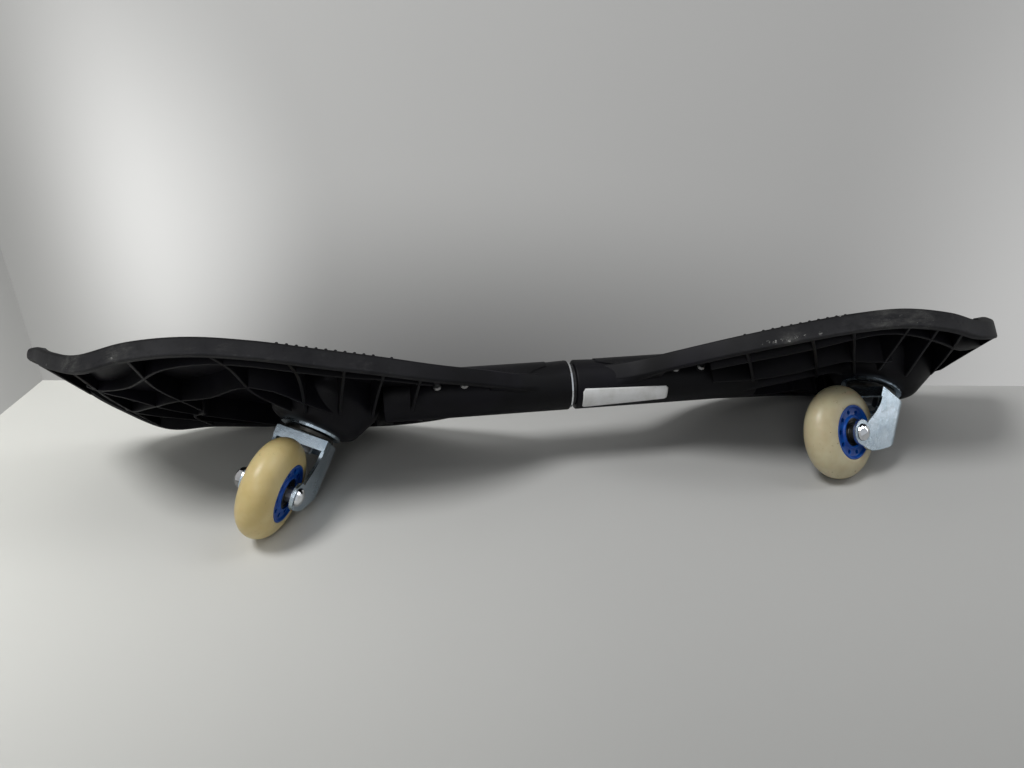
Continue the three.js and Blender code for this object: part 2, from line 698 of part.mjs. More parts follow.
// Everything on one axle, turned about the wheel's own Y axis, in the wheel's frame.
function wheelParts(deck, turning, still) {
  const across = (solid) => placed(solid, alongY);
  const tread = [];
  for (let i = -tyreSteps; i <= tyreSteps; i++) {
    const turn = (i / tyreSteps) * (Math.PI / 2);
    tread.push([
      shoulderRadius + (wheelRadius - shoulderRadius) * Math.cos(turn),
      tyreHalfWidth * Math.sin(turn),
    ]);
  }
  const seat = hubRadius + seatGap;
  const tyre = ring([[seat, -hubHalfWidth], ...tread, [seat, hubHalfWidth]], wheelSides);
  const bearingOut = hubHalfWidth - bearingInset;
  const bearingIn = bearingOut - bearingWidth;
  const bearingSeat = bearingRadius + seatGap;
  const face = hubHalfWidth - hubDish;
  const half = [
    [hubBore, bearingIn - seatGap],
    [bearingSeat, bearingIn - seatGap],
    [bearingSeat, hubHalfWidth],
    [bearingSeat + hubRim, hubHalfWidth],
    [bearingSeat + hubRim, face],
    [hubRadius - hubRim, face],
    [hubRadius - hubRim, hubHalfWidth],
    [hubRadius, hubHalfWidth],
  ];
  const otherHalf = half.map(([radius, high]) => [radius, -high]).reverse();
  const pocketPlace = (bearingSeat + hubRadius) / 2;
  const pockets = Array.from({ length: pocketCount }, (_, i) => {
    const turn = (i / pocketCount) * 2 * Math.PI;
    const [x, y] = [pocketPlace * Math.cos(turn), pocketPlace * Math.sin(turn)];
    const pit = disc(pocketRadius, face - pocketDepth, hubHalfWidth, pocketSides);
    return pit.add(disc(pocketRadius, -hubHalfWidth, pocketDepth - face, pocketSides)).translate([x, y, 0]);
  });
  const hub = lessAll(ring([...half, ...otherHalf], sides), pockets);
  turning.add(meshOf(`${deck.name}_tyre`, across(tyre), cream()));
  turning.add(meshOf(`${deck.name}_hub_core`, across(hub), blue()));
  const [inner, outer] = [bearingBore + bearingRaceWall, bearingRadius - bearingRaceWall];
  const deep = bearingWidth / 2 - shieldDepth;
  const bearing = ring([
    [bearingBore, -bearingWidth / 2],
    [inner, -bearingWidth / 2],
    [inner + shieldDepth, -deep],
    [outer - shieldDepth, -deep],
    [outer, -bearingWidth / 2],
    [bearingRadius, -bearingWidth / 2],
    [bearingRadius, bearingWidth / 2],
    [outer, bearingWidth / 2],
    [outer - shieldDepth, deep],
    [inner + shieldDepth, deep],
    [inner, bearingWidth / 2],
    [bearingBore, bearingWidth / 2],
  ], sides);
  const bearingMiddle = (bearingOut + bearingIn) / 2;
  const inside = forkHalfWidth - forkWall - seatGap;
  [["near", 1], ["far", -1]].forEach(([name, side]) => {
    const seated = bearing.translate([0, 0, side * bearingMiddle]);
    turning.add(meshOf(`${deck.name}_${name}_bearing`, across(seated), steel()));
    const ends = [side * (bearingOut + seatGap), side * inside];
    const spacer = tube(bearingBore, spacerRadius, Math.min(...ends), Math.max(...ends), smallSides);
    still.add(meshOf(`${deck.name}_${name}_fork_spacer`, across(spacer), steel()));
  });
  const gap = bearingIn - seatGap;
  const middle = tube(bearingBore, spacerRadius, -gap, gap, smallSides);
  turning.add(meshOf(`${deck.name}_bearing_spacer`, across(middle), steel()));
  axleParts(deck, still);
}

// The bolt's dome is on the wheel's near side, towards the axle's +Y, and its nut on the far side.
function axleParts(deck, group) {
  const face = forkHalfWidth + seatGap;
  const nutEnd = face + axleNutHeight;
  const dome = Array.from({ length: 5 }, (_, i) => {
    const turn = (i / 4) * (Math.PI / 2);
    return [axleHeadRadius * Math.sin(turn), -face - axleHeadHeight * Math.cos(turn)];
  });
  const bolt = turned([
    ...dome,
    [axleRadius, -face],
    [axleRadius, nutEnd - axleNutDome],
    [0, nutEnd - axleNutDome],
  ], sides);
  const cone = turned([
    [0, face - overrun],
    [axleNutAcrossFlats, face - overrun],
    [axleNutAcrossFlats, nutEnd - axleNutAcrossFlats / 2],
    [axleNutAcrossFlats / 2 - axleNutDome / 2, nutEnd],
    [0, nutEnd],
  ], sides);
  const nutBore = disc(axleRadius + seatGap, 0, nutEnd + overrun, smallSides);
  const nut = hexBar(axleNutAcrossFlats, face, nutEnd).intersect(cone).subtract(nutBore);
  group.add(meshOf(`${deck.name}_axle_bolt`, placed(bolt, againstY), chrome()));
  group.add(meshOf(`${deck.name}_axle_nut`, placed(nut, againstY), steel()));
}

function casterAssembly(deck, group) {
  const seat = new THREE.Group();
  casterMatrix(deck).decompose(seat.position, seat.quaternion, seat.scale);
  casterSeat(deck, seat);
  const swivel = new THREE.Group();
  swivel.rotation.z = deck.swivel;
  swivel.add(meshOf(`${deck.name}_fork`, forkSolid(), zinc()));
  const lowerRace = tube(kingpinBore, lowerRaceRadius, lowerRaceTop - lowerRaceThickness, lowerRaceTop, sides);
  swivel.add(meshOf(`${deck.name}_lower_race`, lowerRace, steel()));
  const axle = new THREE.Group();
  axle.position.set(axleTrail, 0, -axleDrop);
  wheelParts(deck, axle, axle);
  swivel.add(axle);
  seat.add(swivel);
  group.add(seat);
}

function boardHalf(deck) {
  const half = new THREE.Group();
  deck.rim = rimOf(deck);
  half.add(meshOf(`${deck.name}_deck`, deckSolid(deck), black()));
  neckAnchor(deck, half);
  casterAssembly(deck, half);
  return half;
}

// Lowest point of the meshes whose names end in a word, in the pose the board is in.
function lowest(board, ending) {
  board.updateMatrixWorld(true);
  let low = Infinity;
  const point = new THREE.Vector3();
  board.traverse((mesh) => {
    if (!mesh.isMesh || !mesh.name.endsWith(ending)) return;
    const places = mesh.geometry.getAttribute("position");
    for (let i = 0; i < places.count; i++) {
      point.fromBufferAttribute(places, i).applyMatrix4(mesh.matrixWorld);
      low = Math.min(low, point.z);
    }
  });
  return low;
}

// Halves the range until the difference changes sign.
function settled(low, high, difference) {
  let [from, to] = [low, high];
  for (let i = 0; i < 24; i++) {
    const middle = (from + to) / 2;
    if (difference(middle) > 0) from = middle;
    else to = middle;
  }
  return (from + to) / 2;
}

// Tips the board onto its wheels and its far lips, and cuts the lips flat where they rest.
function laidDown(board) {
  const level = (lean) => {
    board.rotation.set(-lean, 0, 0);
    const tilt = settled(-0.1, 0.1, (angle) => {
      board.rotation.y = angle;
      return lowest(board, "nose_tyre") < lowest(board, "tail_tyre") ? 1 : -1;
    });
    board.rotation.y = tilt;
  };
  const lean = settled(0.5, 1.1, (angle) => {
    level(angle);
    return lowest(board, "_deck") + restCut > lowest(board, "_tyre") ? 1 : -1;
  });
  level(lean);
  board.position.z = -lowest(board, "_tyre");
  board.updateMatrixWorld(true);
  for (const deck of [noseDeck, tailDeck]) {
    const mesh = board.getObjectByName(`${deck.name}_deck`);
    const floor = new THREE.BoxGeometry(4 * deck.length, 4 * deck.length, deck.length);
    floor.translate(0, 0, -deck.length / 2);
    const below = placed(solidOf(floor), mesh.matrixWorld.clone().invert());
    mesh.geometry = geometryOf(solidOf(mesh.geometry).subtract(below));
  }
  const box = new THREE.Box3().setFromObject(board, true);
  const middle = box.getCenter(new THREE.Vector3());
  board.position.x -= middle.x;
  board.position.y -= middle.y;
}

const board = new THREE.Group();
neckParts(board);
for (const deck of [noseDeck, tailDeck]) board.add(boardHalf(deck));
laidDown(board);

const casterBoard = new THREE.Group();
casterBoard.add(board);
export default casterBoard;
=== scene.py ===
# %% [markdown]
# # A caster board, dressed over its working model
# The board is two moulded decks on a sprung neck, with one swivel caster under each. The working model
# already gives every piece its place and size. This lesson adds fine surfaces and finishes over it.
# All lengths that we type are in millimetres, and one scale turns them into Blender's metres at the end.

# %% Load the working model
import json
import math

import bmesh
import bpy
from mathutils import Matrix, Vector


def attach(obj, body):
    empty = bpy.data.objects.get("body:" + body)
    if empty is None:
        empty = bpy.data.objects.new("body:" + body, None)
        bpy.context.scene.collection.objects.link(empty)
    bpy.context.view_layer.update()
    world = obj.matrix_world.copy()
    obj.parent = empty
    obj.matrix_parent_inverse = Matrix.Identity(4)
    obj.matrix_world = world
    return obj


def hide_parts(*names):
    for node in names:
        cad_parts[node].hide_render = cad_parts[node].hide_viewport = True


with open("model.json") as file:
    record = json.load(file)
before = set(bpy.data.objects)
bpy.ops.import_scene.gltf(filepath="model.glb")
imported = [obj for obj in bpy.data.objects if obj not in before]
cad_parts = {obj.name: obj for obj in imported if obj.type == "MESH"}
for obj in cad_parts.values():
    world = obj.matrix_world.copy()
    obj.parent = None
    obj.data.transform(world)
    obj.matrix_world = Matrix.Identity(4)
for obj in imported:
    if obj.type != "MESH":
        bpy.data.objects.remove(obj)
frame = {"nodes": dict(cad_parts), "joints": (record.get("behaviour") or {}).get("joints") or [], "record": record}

nodes = frame["nodes"]
joints = {joint["name"]: joint for joint in frame["joints"]}
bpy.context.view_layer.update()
millimetre = 0.001

# %% [markdown]
# ## Where the board lies
# The board lies tipped over, so its own lengthwise, sideways and upward directions don't follow the
# room's. We could type the angles, but the joints already hold them: the neck joint runs along the board,
# and the swivel joint leans by a known angle from the deck's upward direction.

# %% The board's own directions
caster_incline = math.radians(25)
neck_place = Vector(joints["neck_twist"]["pos_m"])
lengthwise = Vector(joints["neck_twist"]["axis"]).normalized()
swivel_axis = Vector(joints["nose_swivel"]["axis"]).normalized()
upward = (swivel_axis - lengthwise * swivel_axis.dot(lengthwise)).normalized()
sideways = upward.cross(lengthwise)
board_turn = Matrix((lengthwise, sideways, upward)).transposed().to_4x4()
board_matrix = Matrix.Translation(neck_place) @ board_turn @ Matrix.Scale(millimetre, 4)
lean = math.degrees(math.atan2(-sideways.z, upward.z))
print("the board leans", round(lean, 2), "degrees")

# %% [markdown]
# ## The camera
# The camera stands where the photograph was taken from: a little to the nose's side of the neck, about
# half a metre in front and a third of a metre up, looking down. A wide lens gives the strong perspective.

# %% Camera
def shown(name, data):
    """A new object in the scene that holds the data."""
    made = bpy.data.objects.new(name, data)
    bpy.context.scene.collection.objects.link(made)
    return made


camera_from_neck = Vector((-122.5, -541.8, 0)) * millimetre
camera_height = 356 * millimetre
camera_heading = math.radians(7.77)
camera_pitch = math.radians(27.4)
camera_roll = math.radians(-0.18)
camera_data = bpy.data.cameras.new("camera")
camera_data.lens = 27.03
camera_data.sensor_width = 36
camera_data.clip_start = 0.01
camera = shown("camera", camera_data)
camera.location = Vector((neck_place.x, neck_place.y, 0)) + camera_from_neck + Vector((0, 0, camera_height))
heading = Matrix.Rotation(-camera_heading, 4, "Z")
pitch = Matrix.Rotation(math.pi / 2 - camera_pitch, 4, "X")
roll = Matrix.Rotation(camera_roll, 4, "Z")
camera.rotation_euler = (heading @ pitch @ roll).to_euler()
bpy.context.scene.camera = camera
print("camera at", [round(v, 3) for v in camera.location])

# %% [markdown]
# ## Shader maths
# A finish is a network of nodes. Wiring each node by hand is long to read, so one small class wraps a
# socket and lets Python's own operators add the Math nodes. A second class holds one material and makes
# any other node from its type, its settings and the values of its sockets.


# %% A socket that understands arithmetic
class Reading:
    """A number that changes over a surface."""

    def __init__(self, finish, socket):
        self.finish = finish
        self.socket = socket

    def maths(self, operation, *values, clamped=False):
        node = self.finish.tree.nodes.new("ShaderNodeMath")
        node.operation = operation
        node.use_clamp = clamped
        for place, value in zip(node.inputs, values):
            self.finish.join(value, place)
        return Reading(self.finish, node.outputs[0])

    def __add__(self, other):
        return self.maths("ADD", self, other)

    def __radd__(self, other):
        return self.maths("ADD", other, self)

    def __sub__(self, other):
        return self.maths("SUBTRACT", self, other)

    def __rsub__(self, other):
        return self.maths("SUBTRACT", other, self)

    def __mul__(self, other):
        return self.maths("MULTIPLY", self, other)

    def __rmul__(self, other):
        return self.maths("MULTIPLY", other, self)

    def clamped(self):
        return self.maths("ADD", self, 0.0, clamped=True)


class Finish:
    """One material: a Principled shader, and the nodes that feed it."""

    def __init__(self, name, **constants):
        self.material = bpy.data.materials.new(name)
        self.material.use_nodes = True
        self.tree = self.material.node_tree
        self.shader = self.tree.nodes["Principled BSDF"]
        for socket, value in constants.items():
            self.shader.inputs[socket.replace("_", " ")].default_value = value
        self.here = self.node("ShaderNodeTexCoord").outputs["Object"]

    def join(self, value, place):
        if isinstance(value, Reading):
            self.tree.links.new(value.socket, place)
        elif isinstance(value, bpy.types.NodeSocket):
            self.tree.links.new(value, place)
        else:
            place.default_value = value

    def node(self, kind, settings=None, **values):
        made = self.tree.nodes.new(kind)
        for setting, value in (settings or {}).items():
            setattr(made, setting, value)
        for socket, value in values.items():
            name = socket.replace("_", " ")
            self.join(value, made.inputs[int(name[1:])] if name[1:].isdigit() else made.inputs[name])
        return made

    def noise(self, size, detail=3.0, roughness=0.6, stretch=(1, 1, 1)):
        """Soft noise whose blotches are about size millimetres across."""
        moved = self.node("ShaderNodeMapping", Vector=self.here, Scale=stretch)
        made = self.node(
            "ShaderNodeTexNoise",
            Vector=moved.outputs[0],
            Scale=1 / (size * millimetre),
            Detail=detail,
            Roughness=roughness,
        )
        return Reading(self, made.outputs["Fac"])

    def between(self, low, high, value):
        """0 where the value is under low, 1 over high, smooth between."""
        settings = {"interpolation_type": "SMOOTHSTEP"}
        made = self.node("ShaderNodeMapRange", settings, Value=value, From_Min=low, From_Max=high)
        return Reading(self, made.outputs[0])

    def blend(self, first, second, share):
        """A colour that goes from the first to the second with the share."""
        mixer = self.node("ShaderNodeMix", {"data_type": "RGBA"}, Factor=share, i6=first, i7=second)
        return mixer.outputs[2]

    def near(self, place, radius):
        """1 at a place on the board, falling to 0 at the radius, in millimetres."""
        spot = board_matrix @ Vector(place)
        settings = {"operation": "DISTANCE"}
        apart = self.node("ShaderNodeVectorMath", settings, i0=self.here, i1=spot)
        return 1 - self.between(0.0, radius * millimetre, Reading(self, apart.outputs["Value"]))

    def dot(self, vector, direction):
        made = self.node("ShaderNodeVectorMath", {"operation": "DOT_PRODUCT"}, i0=vector, i1=direction)
        return Reading(self, made.outputs["Value"])

    def facing(self, direction):
        """1 where the surface faces a direction of the board, 0 where it stands across it."""
        return self.dot(self.node("ShaderNodeTexCoord").outputs["Normal"], direction)

    def from_neck(self):
        """Millimetres along the board from the middle of the neck, either way."""
        away = self.dot(self.here, lengthwise) - neck_place.dot(lengthwise)
        return away.maths("ABSOLUTE", away) * (1 / millimetre)

    def paint(self, colour=None, roughness=None, metallic=None):
        for name, value in (("Base Color", colour), ("Roughness", roughness), ("Metallic", metallic)):
            if value is not None:
                self.join(value, self.shader.inputs[name])
        return self

    def emboss(self, height, depth):
        """Bumps of this depth in millimetres."""
        bump = self.node("ShaderNodeBump", Height=height, Distance=depth * millimetre, Strength=1.0)
        self.join(bump.outputs[0], self.shader.inputs["Normal"])
        return self


def tone(red, green, blue):
    """A colour as it is read off a screen, from 0 to 255, turned into Blender's linear numbers."""
    shares = [value / 255 for value in (red, green, blue)]
    linear = [share / 12.92 if share <= 0.04045 else ((share + 0.055) / 1.055) ** 2.4 for share in shares]
    return (*linear, 1.0)


print("shader classes ready")

# %% [markdown]
# ## Black moulded plastic
# The decks are fibre-filled nylon, moulded black with a fine grain. It isn't one black: the flow of the
# melt leaves cloudy, slightly bluish patches, and dust greys it in patches. We mix two blacks by a broad
# noise, let a finer one vary the gloss, and give the grain as a bump a few hundredths deep.


# %% Deck plastic
plastic_sheen = 0.14


def melt_black(finish, cloud):
    return finish.blend(tone(6, 6, 8), tone(17, 16, 22), finish.between(0.35, 0.7, cloud))


def deck_plastic():
    finish = Finish("deck_plastic", Specular_IOR_Level=plastic_sheen)
    cloud = finish.noise(60, detail=4)
    dust = finish.noise(9, detail=5, roughness=0.7)
    grain = finish.noise(0.7, detail=2)
    dusty = finish.blend(melt_black(finish, cloud), tone(38, 38, 44), finish.between(0.6, 0.82, dust) * 0.3)
    finish.paint(colour=dusty, roughness=0.36 + 0.18 * dust + 0.08 * cloud)
    return finish.emboss(grain + 0.6 * dust, 0.04).material


# %% [markdown]
# ## The worn lip
# The lip is the same plastic, but it is what the ground, the shoes and the walls touch. It has greyed all
# over, except near the neck, and where it was scraped it shows short pale scratches. Its top, where it faces
# up, is darker than its side. A stretched noise makes the scratches, a few placed spots say where they are,
# and the way that the surface faces tells the top from the side.

# %% Lip plastic
clean_until = 80
worn_from = 175
scuff_places = [
    ((-316, -104, 13), 3.2), ((-309, -107, 12), 2.0), ((-303, -108, 15), 1.6),
    ((-373, -61, 24), 2.0), ((-366, -66, 22), 3.2),
    ((130, -76, 1), 1.8), ((134, -78, 2), 2.2), ((138, -80, 1), 2.6), ((143, -82, 2), 2.0),
    ((147, -84, 1), 2.6), ((152, -86, 2), 2.2), ((158, -88, 2), 1.8), ((168, -91, 2), 2.4),
    ((173, -92, 3), 2.0), ((183, -95, 13), 2.2),
]
rub_places = [
    ((-312, -105, 13), 16), ((-345, -86, 17), 20), ((150, -84, 1), 14), ((215, -99, 4), 26),
    ((240, -98, 3), 20),
]


def lip_plastic():
    finish = Finish("lip_plastic", Specular_IOR_Level=plastic_sheen)
    cloud = finish.noise(60, detail=4)
    mottle = finish.noise(7, detail=5, roughness=0.7)
    rub = finish.noise(5, detail=6, roughness=0.75, stretch=(0.35, 1, 1))
    scratch = finish.noise(1.4, detail=4, roughness=0.8, stretch=(0.4, 1, 1))
    speck = finish.noise(1.1, detail=3)
    grey = finish.blend(tone(31, 31, 34), tone(50, 50, 52), finish.between(0.3, 0.72, cloud))
    rubbed = finish.blend(grey, tone(74, 74, 73), finish.between(0.52, 0.78, rub) * 0.55)
    rubbed = finish.blend(rubbed, tone(20, 20, 23), finish.between(0.5, 0.7, mottle) * 0.5)
    # Darker where the lip faces up.
    sided = finish.blend(rubbed, tone(9, 9, 11), finish.between(-0.2, 0.3, finish.facing(upward)) * 0.92)
    age = finish.between(clean_until, worn_from, finish.from_neck())
    clean = finish.blend(melt_black(finish, cloud), sided, age)
    worn, scuffed = 0.0, 0.0
    for place, radius in rub_places:
        worn = finish.near(place, radius) + worn
    for place, radius in scuff_places:
        scuffed = finish.near(place, radius) + scuffed
    scraped = finish.blend(clean, tone(86, 86, 84), (worn * finish.between(0.35, 0.75, rub) * 0.7).clamped())
    pale = finish.between(0.5, 0.6, scratch) * finish.between(0.1, 0.5, scuffed)
    specks = finish.between(0.68, 0.75, speck) * finish.between(0.2, 0.9, worn) * 0.5
    marked = finish.blend(scraped, tone(180, 180, 177), (pale * 0.85 + specks).clamped())
    finish.paint(colour=marked, roughness=0.4 + 0.18 * rub + 0.18 * age)
    return finish.emboss(speck * 0.5 + rub - pale, 0.08).material


# %% [markdown]
# ## Zinc plate, plain steel and bright bolts
# The forks and plates are pressed steel with bright zinc: bluish, with soft cloudy streaks. The nuts and
# bearings are plainer steel, the race rings are dark, and the dome heads are almost mirrors. All
# of them come from one function, because they differ only in colour, gloss and stain.


# %% Metals
def metal(name, light, dark, gloss, streak=(1, 1, 1), depth=0.004, stained=0.3, wave=0.002):
    finish = Finish(name, Metallic=1.0)
    cloud = finish.noise(14, detail=4, roughness=0.6)
    streaks = finish.noise(2.5, detail=4, roughness=0.7, stretch=streak)
    stain = finish.noise(22, detail=6, roughness=0.8)
    colour = finish.blend(light, dark, finish.between(0.3, 0.75, cloud))
    colour = finish.blend(colour, tone(96, 92, 84), finish.between(0.68, 0.85, stain) * stained)
    finish.paint(colour=colour, roughness=gloss + 0.1 * streaks + 0.1 * finish.between(0.5, 0.9, stain))
    return finish.emboss(streaks * depth + wave * cloud, 1.0).material


# %% [markdown]
# ## Cream urethane, blue core and dark nylon
# The tyres are cast urethane: cream, slightly see-through at the surface, so a little light scatters under
# the skin. They carry brown specks of road dirt and greyer patches. The core is
# glossy blue plastic.


# %% Plastics of the wheels
def urethane(name, clean, aged, dirt):
    finish = Finish(name, Subsurface_Weight=0.12, Subsurface_Scale=0.004, Specular_IOR_Level=0.45)
    cloud = finish.noise(30, detail=3)
    speck = finish.noise(3.2, detail=5, roughness=0.65)
    patch = finish.noise(17, detail=4)
    scuff = finish.noise(0.9, detail=4, roughness=0.8)
    base = finish.blend(clean, aged, finish.between(0.35, 0.7, cloud))
    spots = finish.between(0.62, 0.68, speck) * finish.between(0.44, 0.58, patch) * dirt
    base = finish.blend(base, tone(112, 96, 70), spots.clamped())
    base = finish.blend(base, tone(176, 160, 140), finish.between(0.55, 0.75, patch) * 0.25 * dirt)
    finish.paint(colour=base, roughness=0.3 + 0.14 * scuff + 0.2 * spots)
    return finish.emboss(scuff + 0.5 * speck, 0.03).material


def core_plastic():
    finish = Finish("blue_plastic", Specular_IOR_Level=0.35)
    cloud = finish.noise(8, detail=4)
    speck = finish.noise(1.2, detail=3)
    base = finish.blend(tone(0, 56, 140), tone(0, 84, 174), finish.between(0.35, 0.7, cloud))
    base = finish.blend(base, tone(40, 56, 84), finish.between(0.68, 0.76, speck) * 0.5)
    finish.paint(colour=base, roughness=0.24 + 0.2 * cloud)
    return finish.emboss(speck, 0.02).material


def dark_nylon():
    finish = Finish("dark_nylon", Specular_IOR_Level=0.4)
    cloud = finish.noise(5, detail=4)
    base = finish.blend(tone(16, 16, 18), tone(38, 38, 40), finish.between(0.4, 0.7, cloud))
    finish.paint(colour=base, roughness=0.5 + 0.2 * cloud)
    return finish.emboss(cloud, 0.03).material


# %% [markdown]
# ## The blank sticker
# One side of the neck carries a small white sticker. Nothing is printed on this one. Its paper is a little
# yellowed, thumbed grey in smears, and it has faint creases.


# %% Sticker paper
def sticker_paper():
    finish = Finish("sticker_paper", Specular_IOR_Level=0.35)
    cloud = finish.noise(14, detail=5)
    smear = finish.noise(4, detail=6, roughness=0.75, stretch=(0.4, 1, 1))
    base = finish.blend(tone(226, 227, 228), tone(206, 206, 204), finish.between(0.35, 0.7, cloud))
    base = finish.blend(base, tone(150, 150, 150), finish.between(0.6, 0.8, smear) * 0.4)
    finish.paint(colour=base, roughness=0.42 + 0.2 * smear)
    return finish.emboss(cloud + 0.3 * smear, 0.04).material


finishes = {
    "deck_plastic": deck_plastic(),
    "lip_plastic": lip_plastic(),
    "zinc_steel": metal(
        "zinc_steel", tone(206, 219, 230), tone(178, 195, 208), 0.2, (1, 1, 0.3), 0.004, 0.2, wave=0.25
    ),
    "bare_steel": metal("bare_steel", tone(150, 150, 150), tone(104, 104, 106), 0.26, (0.4, 1, 1), 0.004),
    "dark_steel": metal("dark_steel", tone(84, 82, 78), tone(48, 46, 44), 0.3, (1, 1, 1), 0.006, 0.6),
    "bright_metal": metal(
        "bright_metal", tone(226, 228, 231), tone(206, 209, 213), 0.05, (1, 1, 1), 0.002, 0.15
    ),
    "nose_urethane": urethane("nose_urethane", tone(206, 188, 136), tone(194, 172, 114), 0.35),
    "tail_urethane": urethane("tail_urethane", tone(199, 190, 157), tone(184, 170, 136), 1.0),
    "blue_plastic": core_plastic(),
    "dark_nylon": dark_nylon(),
    "sticker_paper": sticker_paper(),
}
print("finishes:", ", ".join(finishes))

# %% [markdown]
# ## Helpers that make pieces
# Each piece is rows of points and the faces between them, in the board's own frame, in millimetres. One
# function turns them into an object, moves it to where the board lies, smooths it and makes it ride on its
# body. Most pieces are a closed outline swept along a path, so a second one caps such a sweep at both ends.


# %% Making a piece
def placed_mesh(name, rows, faces, matrix):
    """A mesh of rows of points, moved to its place, with shared points merged and faces turned outwards."""
    data = bpy.data.meshes.new(name)
    data.from_pydata([tuple(point) for row in rows for point in row], [], faces)
    data.transform(matrix)
    mesh = bmesh.new()
    mesh.from_mesh(data)
    bmesh.ops.remove_doubles(mesh, verts=mesh.verts, dist=millimetre / 50)
    bmesh.ops.recalc_face_normals(mesh, faces=mesh.faces)
    mesh.to_mesh(data)
    mesh.free()
    return data


def smooth(data, angle):
    """Smooth shading, except over edges that turn by more than the angle in degrees."""
    data.shade_smooth()
    data.set_sharp_from_angle(angle=math.radians(angle))


def piece(name, rows, faces, finish, body, matrix=board_matrix, smooth_angle=35):
    data = placed_mesh(name, rows, faces, matrix)
    data.materials.append(finishes[finish])
    made = shown(name, data)
    smooth(data, smooth_angle)
    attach(made, body)
    return made


def strip(rows, closed_across=False, closed_along=False):
    """Faces between rows of equal point counts, for points listed row after row."""
    count = len(rows[0])
    faces = []
    for row in range(len(rows) - (0 if closed_along else 1)):
        after = (row + 1) % len(rows)
        for i in range(count - (0 if closed_across else 1)):
            beside = (i + 1) % count
            faces.append((row * count + i, row * count + beside, after * count + beside, after * count + i))
    return faces


def swept(rows):
    """Faces of a closed outline swept through rows, with a cap at each end."""
    count = len(rows[0])
    last = (len(rows) - 1) * count
    caps = [tuple(range(count))[::-1], tuple(range(last, last + count))]
    return strip(rows, closed_across=True) + caps


def repeated(rows, faces, places):
    """The rows and faces of copies of a shape at many places, as one set."""
    count = len(rows) * len(rows[0])
    copies = [[place + point for point in row] for place in places for row in rows]
    return copies, [tuple(count * n + i for i in face) for n in range(len(places)) for face in faces]


def turned(profile, steps):
    """Rows of points of a profile of (radius, height) pairs turned about +Z."""
    rows = []
    for i in range(steps):
        angle = 2 * math.pi * i / steps
        rows.append([Vector((r * math.cos(angle), r * math.sin(angle), h)) for r, h in profile])
    return rows


def bevelled(made, width, segments=2, angle=40):
    edge = made.modifiers.new("soft_edges", "BEVEL")
    edge.width = width * millimetre
    edge.segments = segments
    edge.limit_method = "ANGLE"
    edge.angle_limit = math.radians(angle)
    edge.harden_normals = True
    return made


def rounded(points, radius, steps=4):
    """A profile with its inner corners rounded by arcs of about the radius."""
    made = [points[0]]
    for before, corner, after in zip(points, points[1:], points[2:]):
        here = Vector(corner)
        back = (Vector(before) - here)
        ahead = (Vector(after) - here)
        reach = min(radius, back.length * 0.45, ahead.length * 0.45)
        start = here + back.normalized() * reach
        end = here + ahead.normalized() * reach
        for i in range(steps + 1):
            share = i / steps
            first = start.lerp(here, share)
            made.append(tuple(first.lerp(here.lerp(end, share), share)))
    made.append(points[-1])
    return made


print("piece helpers ready")

# %% [markdown]
# ## The shape of a deck
# A deck is described by its rim: how far out and how high the lip runs at each share of its length. The
# working model joins these with a curve that passes through every point, and so do we, with more steps.
# The riding surface is a shallow dish between the lips, and the neck's crown fades into it.

# %% Deck sizes
neck_radius = 20
lip_wall = 5
tip_wall = 4
tip_length = 34
tip_lip_share = 0.75
lip_round = 5.5
skin_thickness = 3
dish_depth = 2
rib_thickness = 2.8
rib_recess = 1.2
keel_depth = 30
hump_start = 88
hump_end = 165
tube_length = 150
pedestal_radius = 33.5
caster_drop = 20.6
swing_shares = [(0.73, 0), (1.16, 0.15), (1.51, 0.42), (1.89, 0.75), (2.15, 1.35), (2.15, 2.15)]
swing_drop = 37
swing_lift = 0.5
most_lifts = 160
skin_inset = 0.25

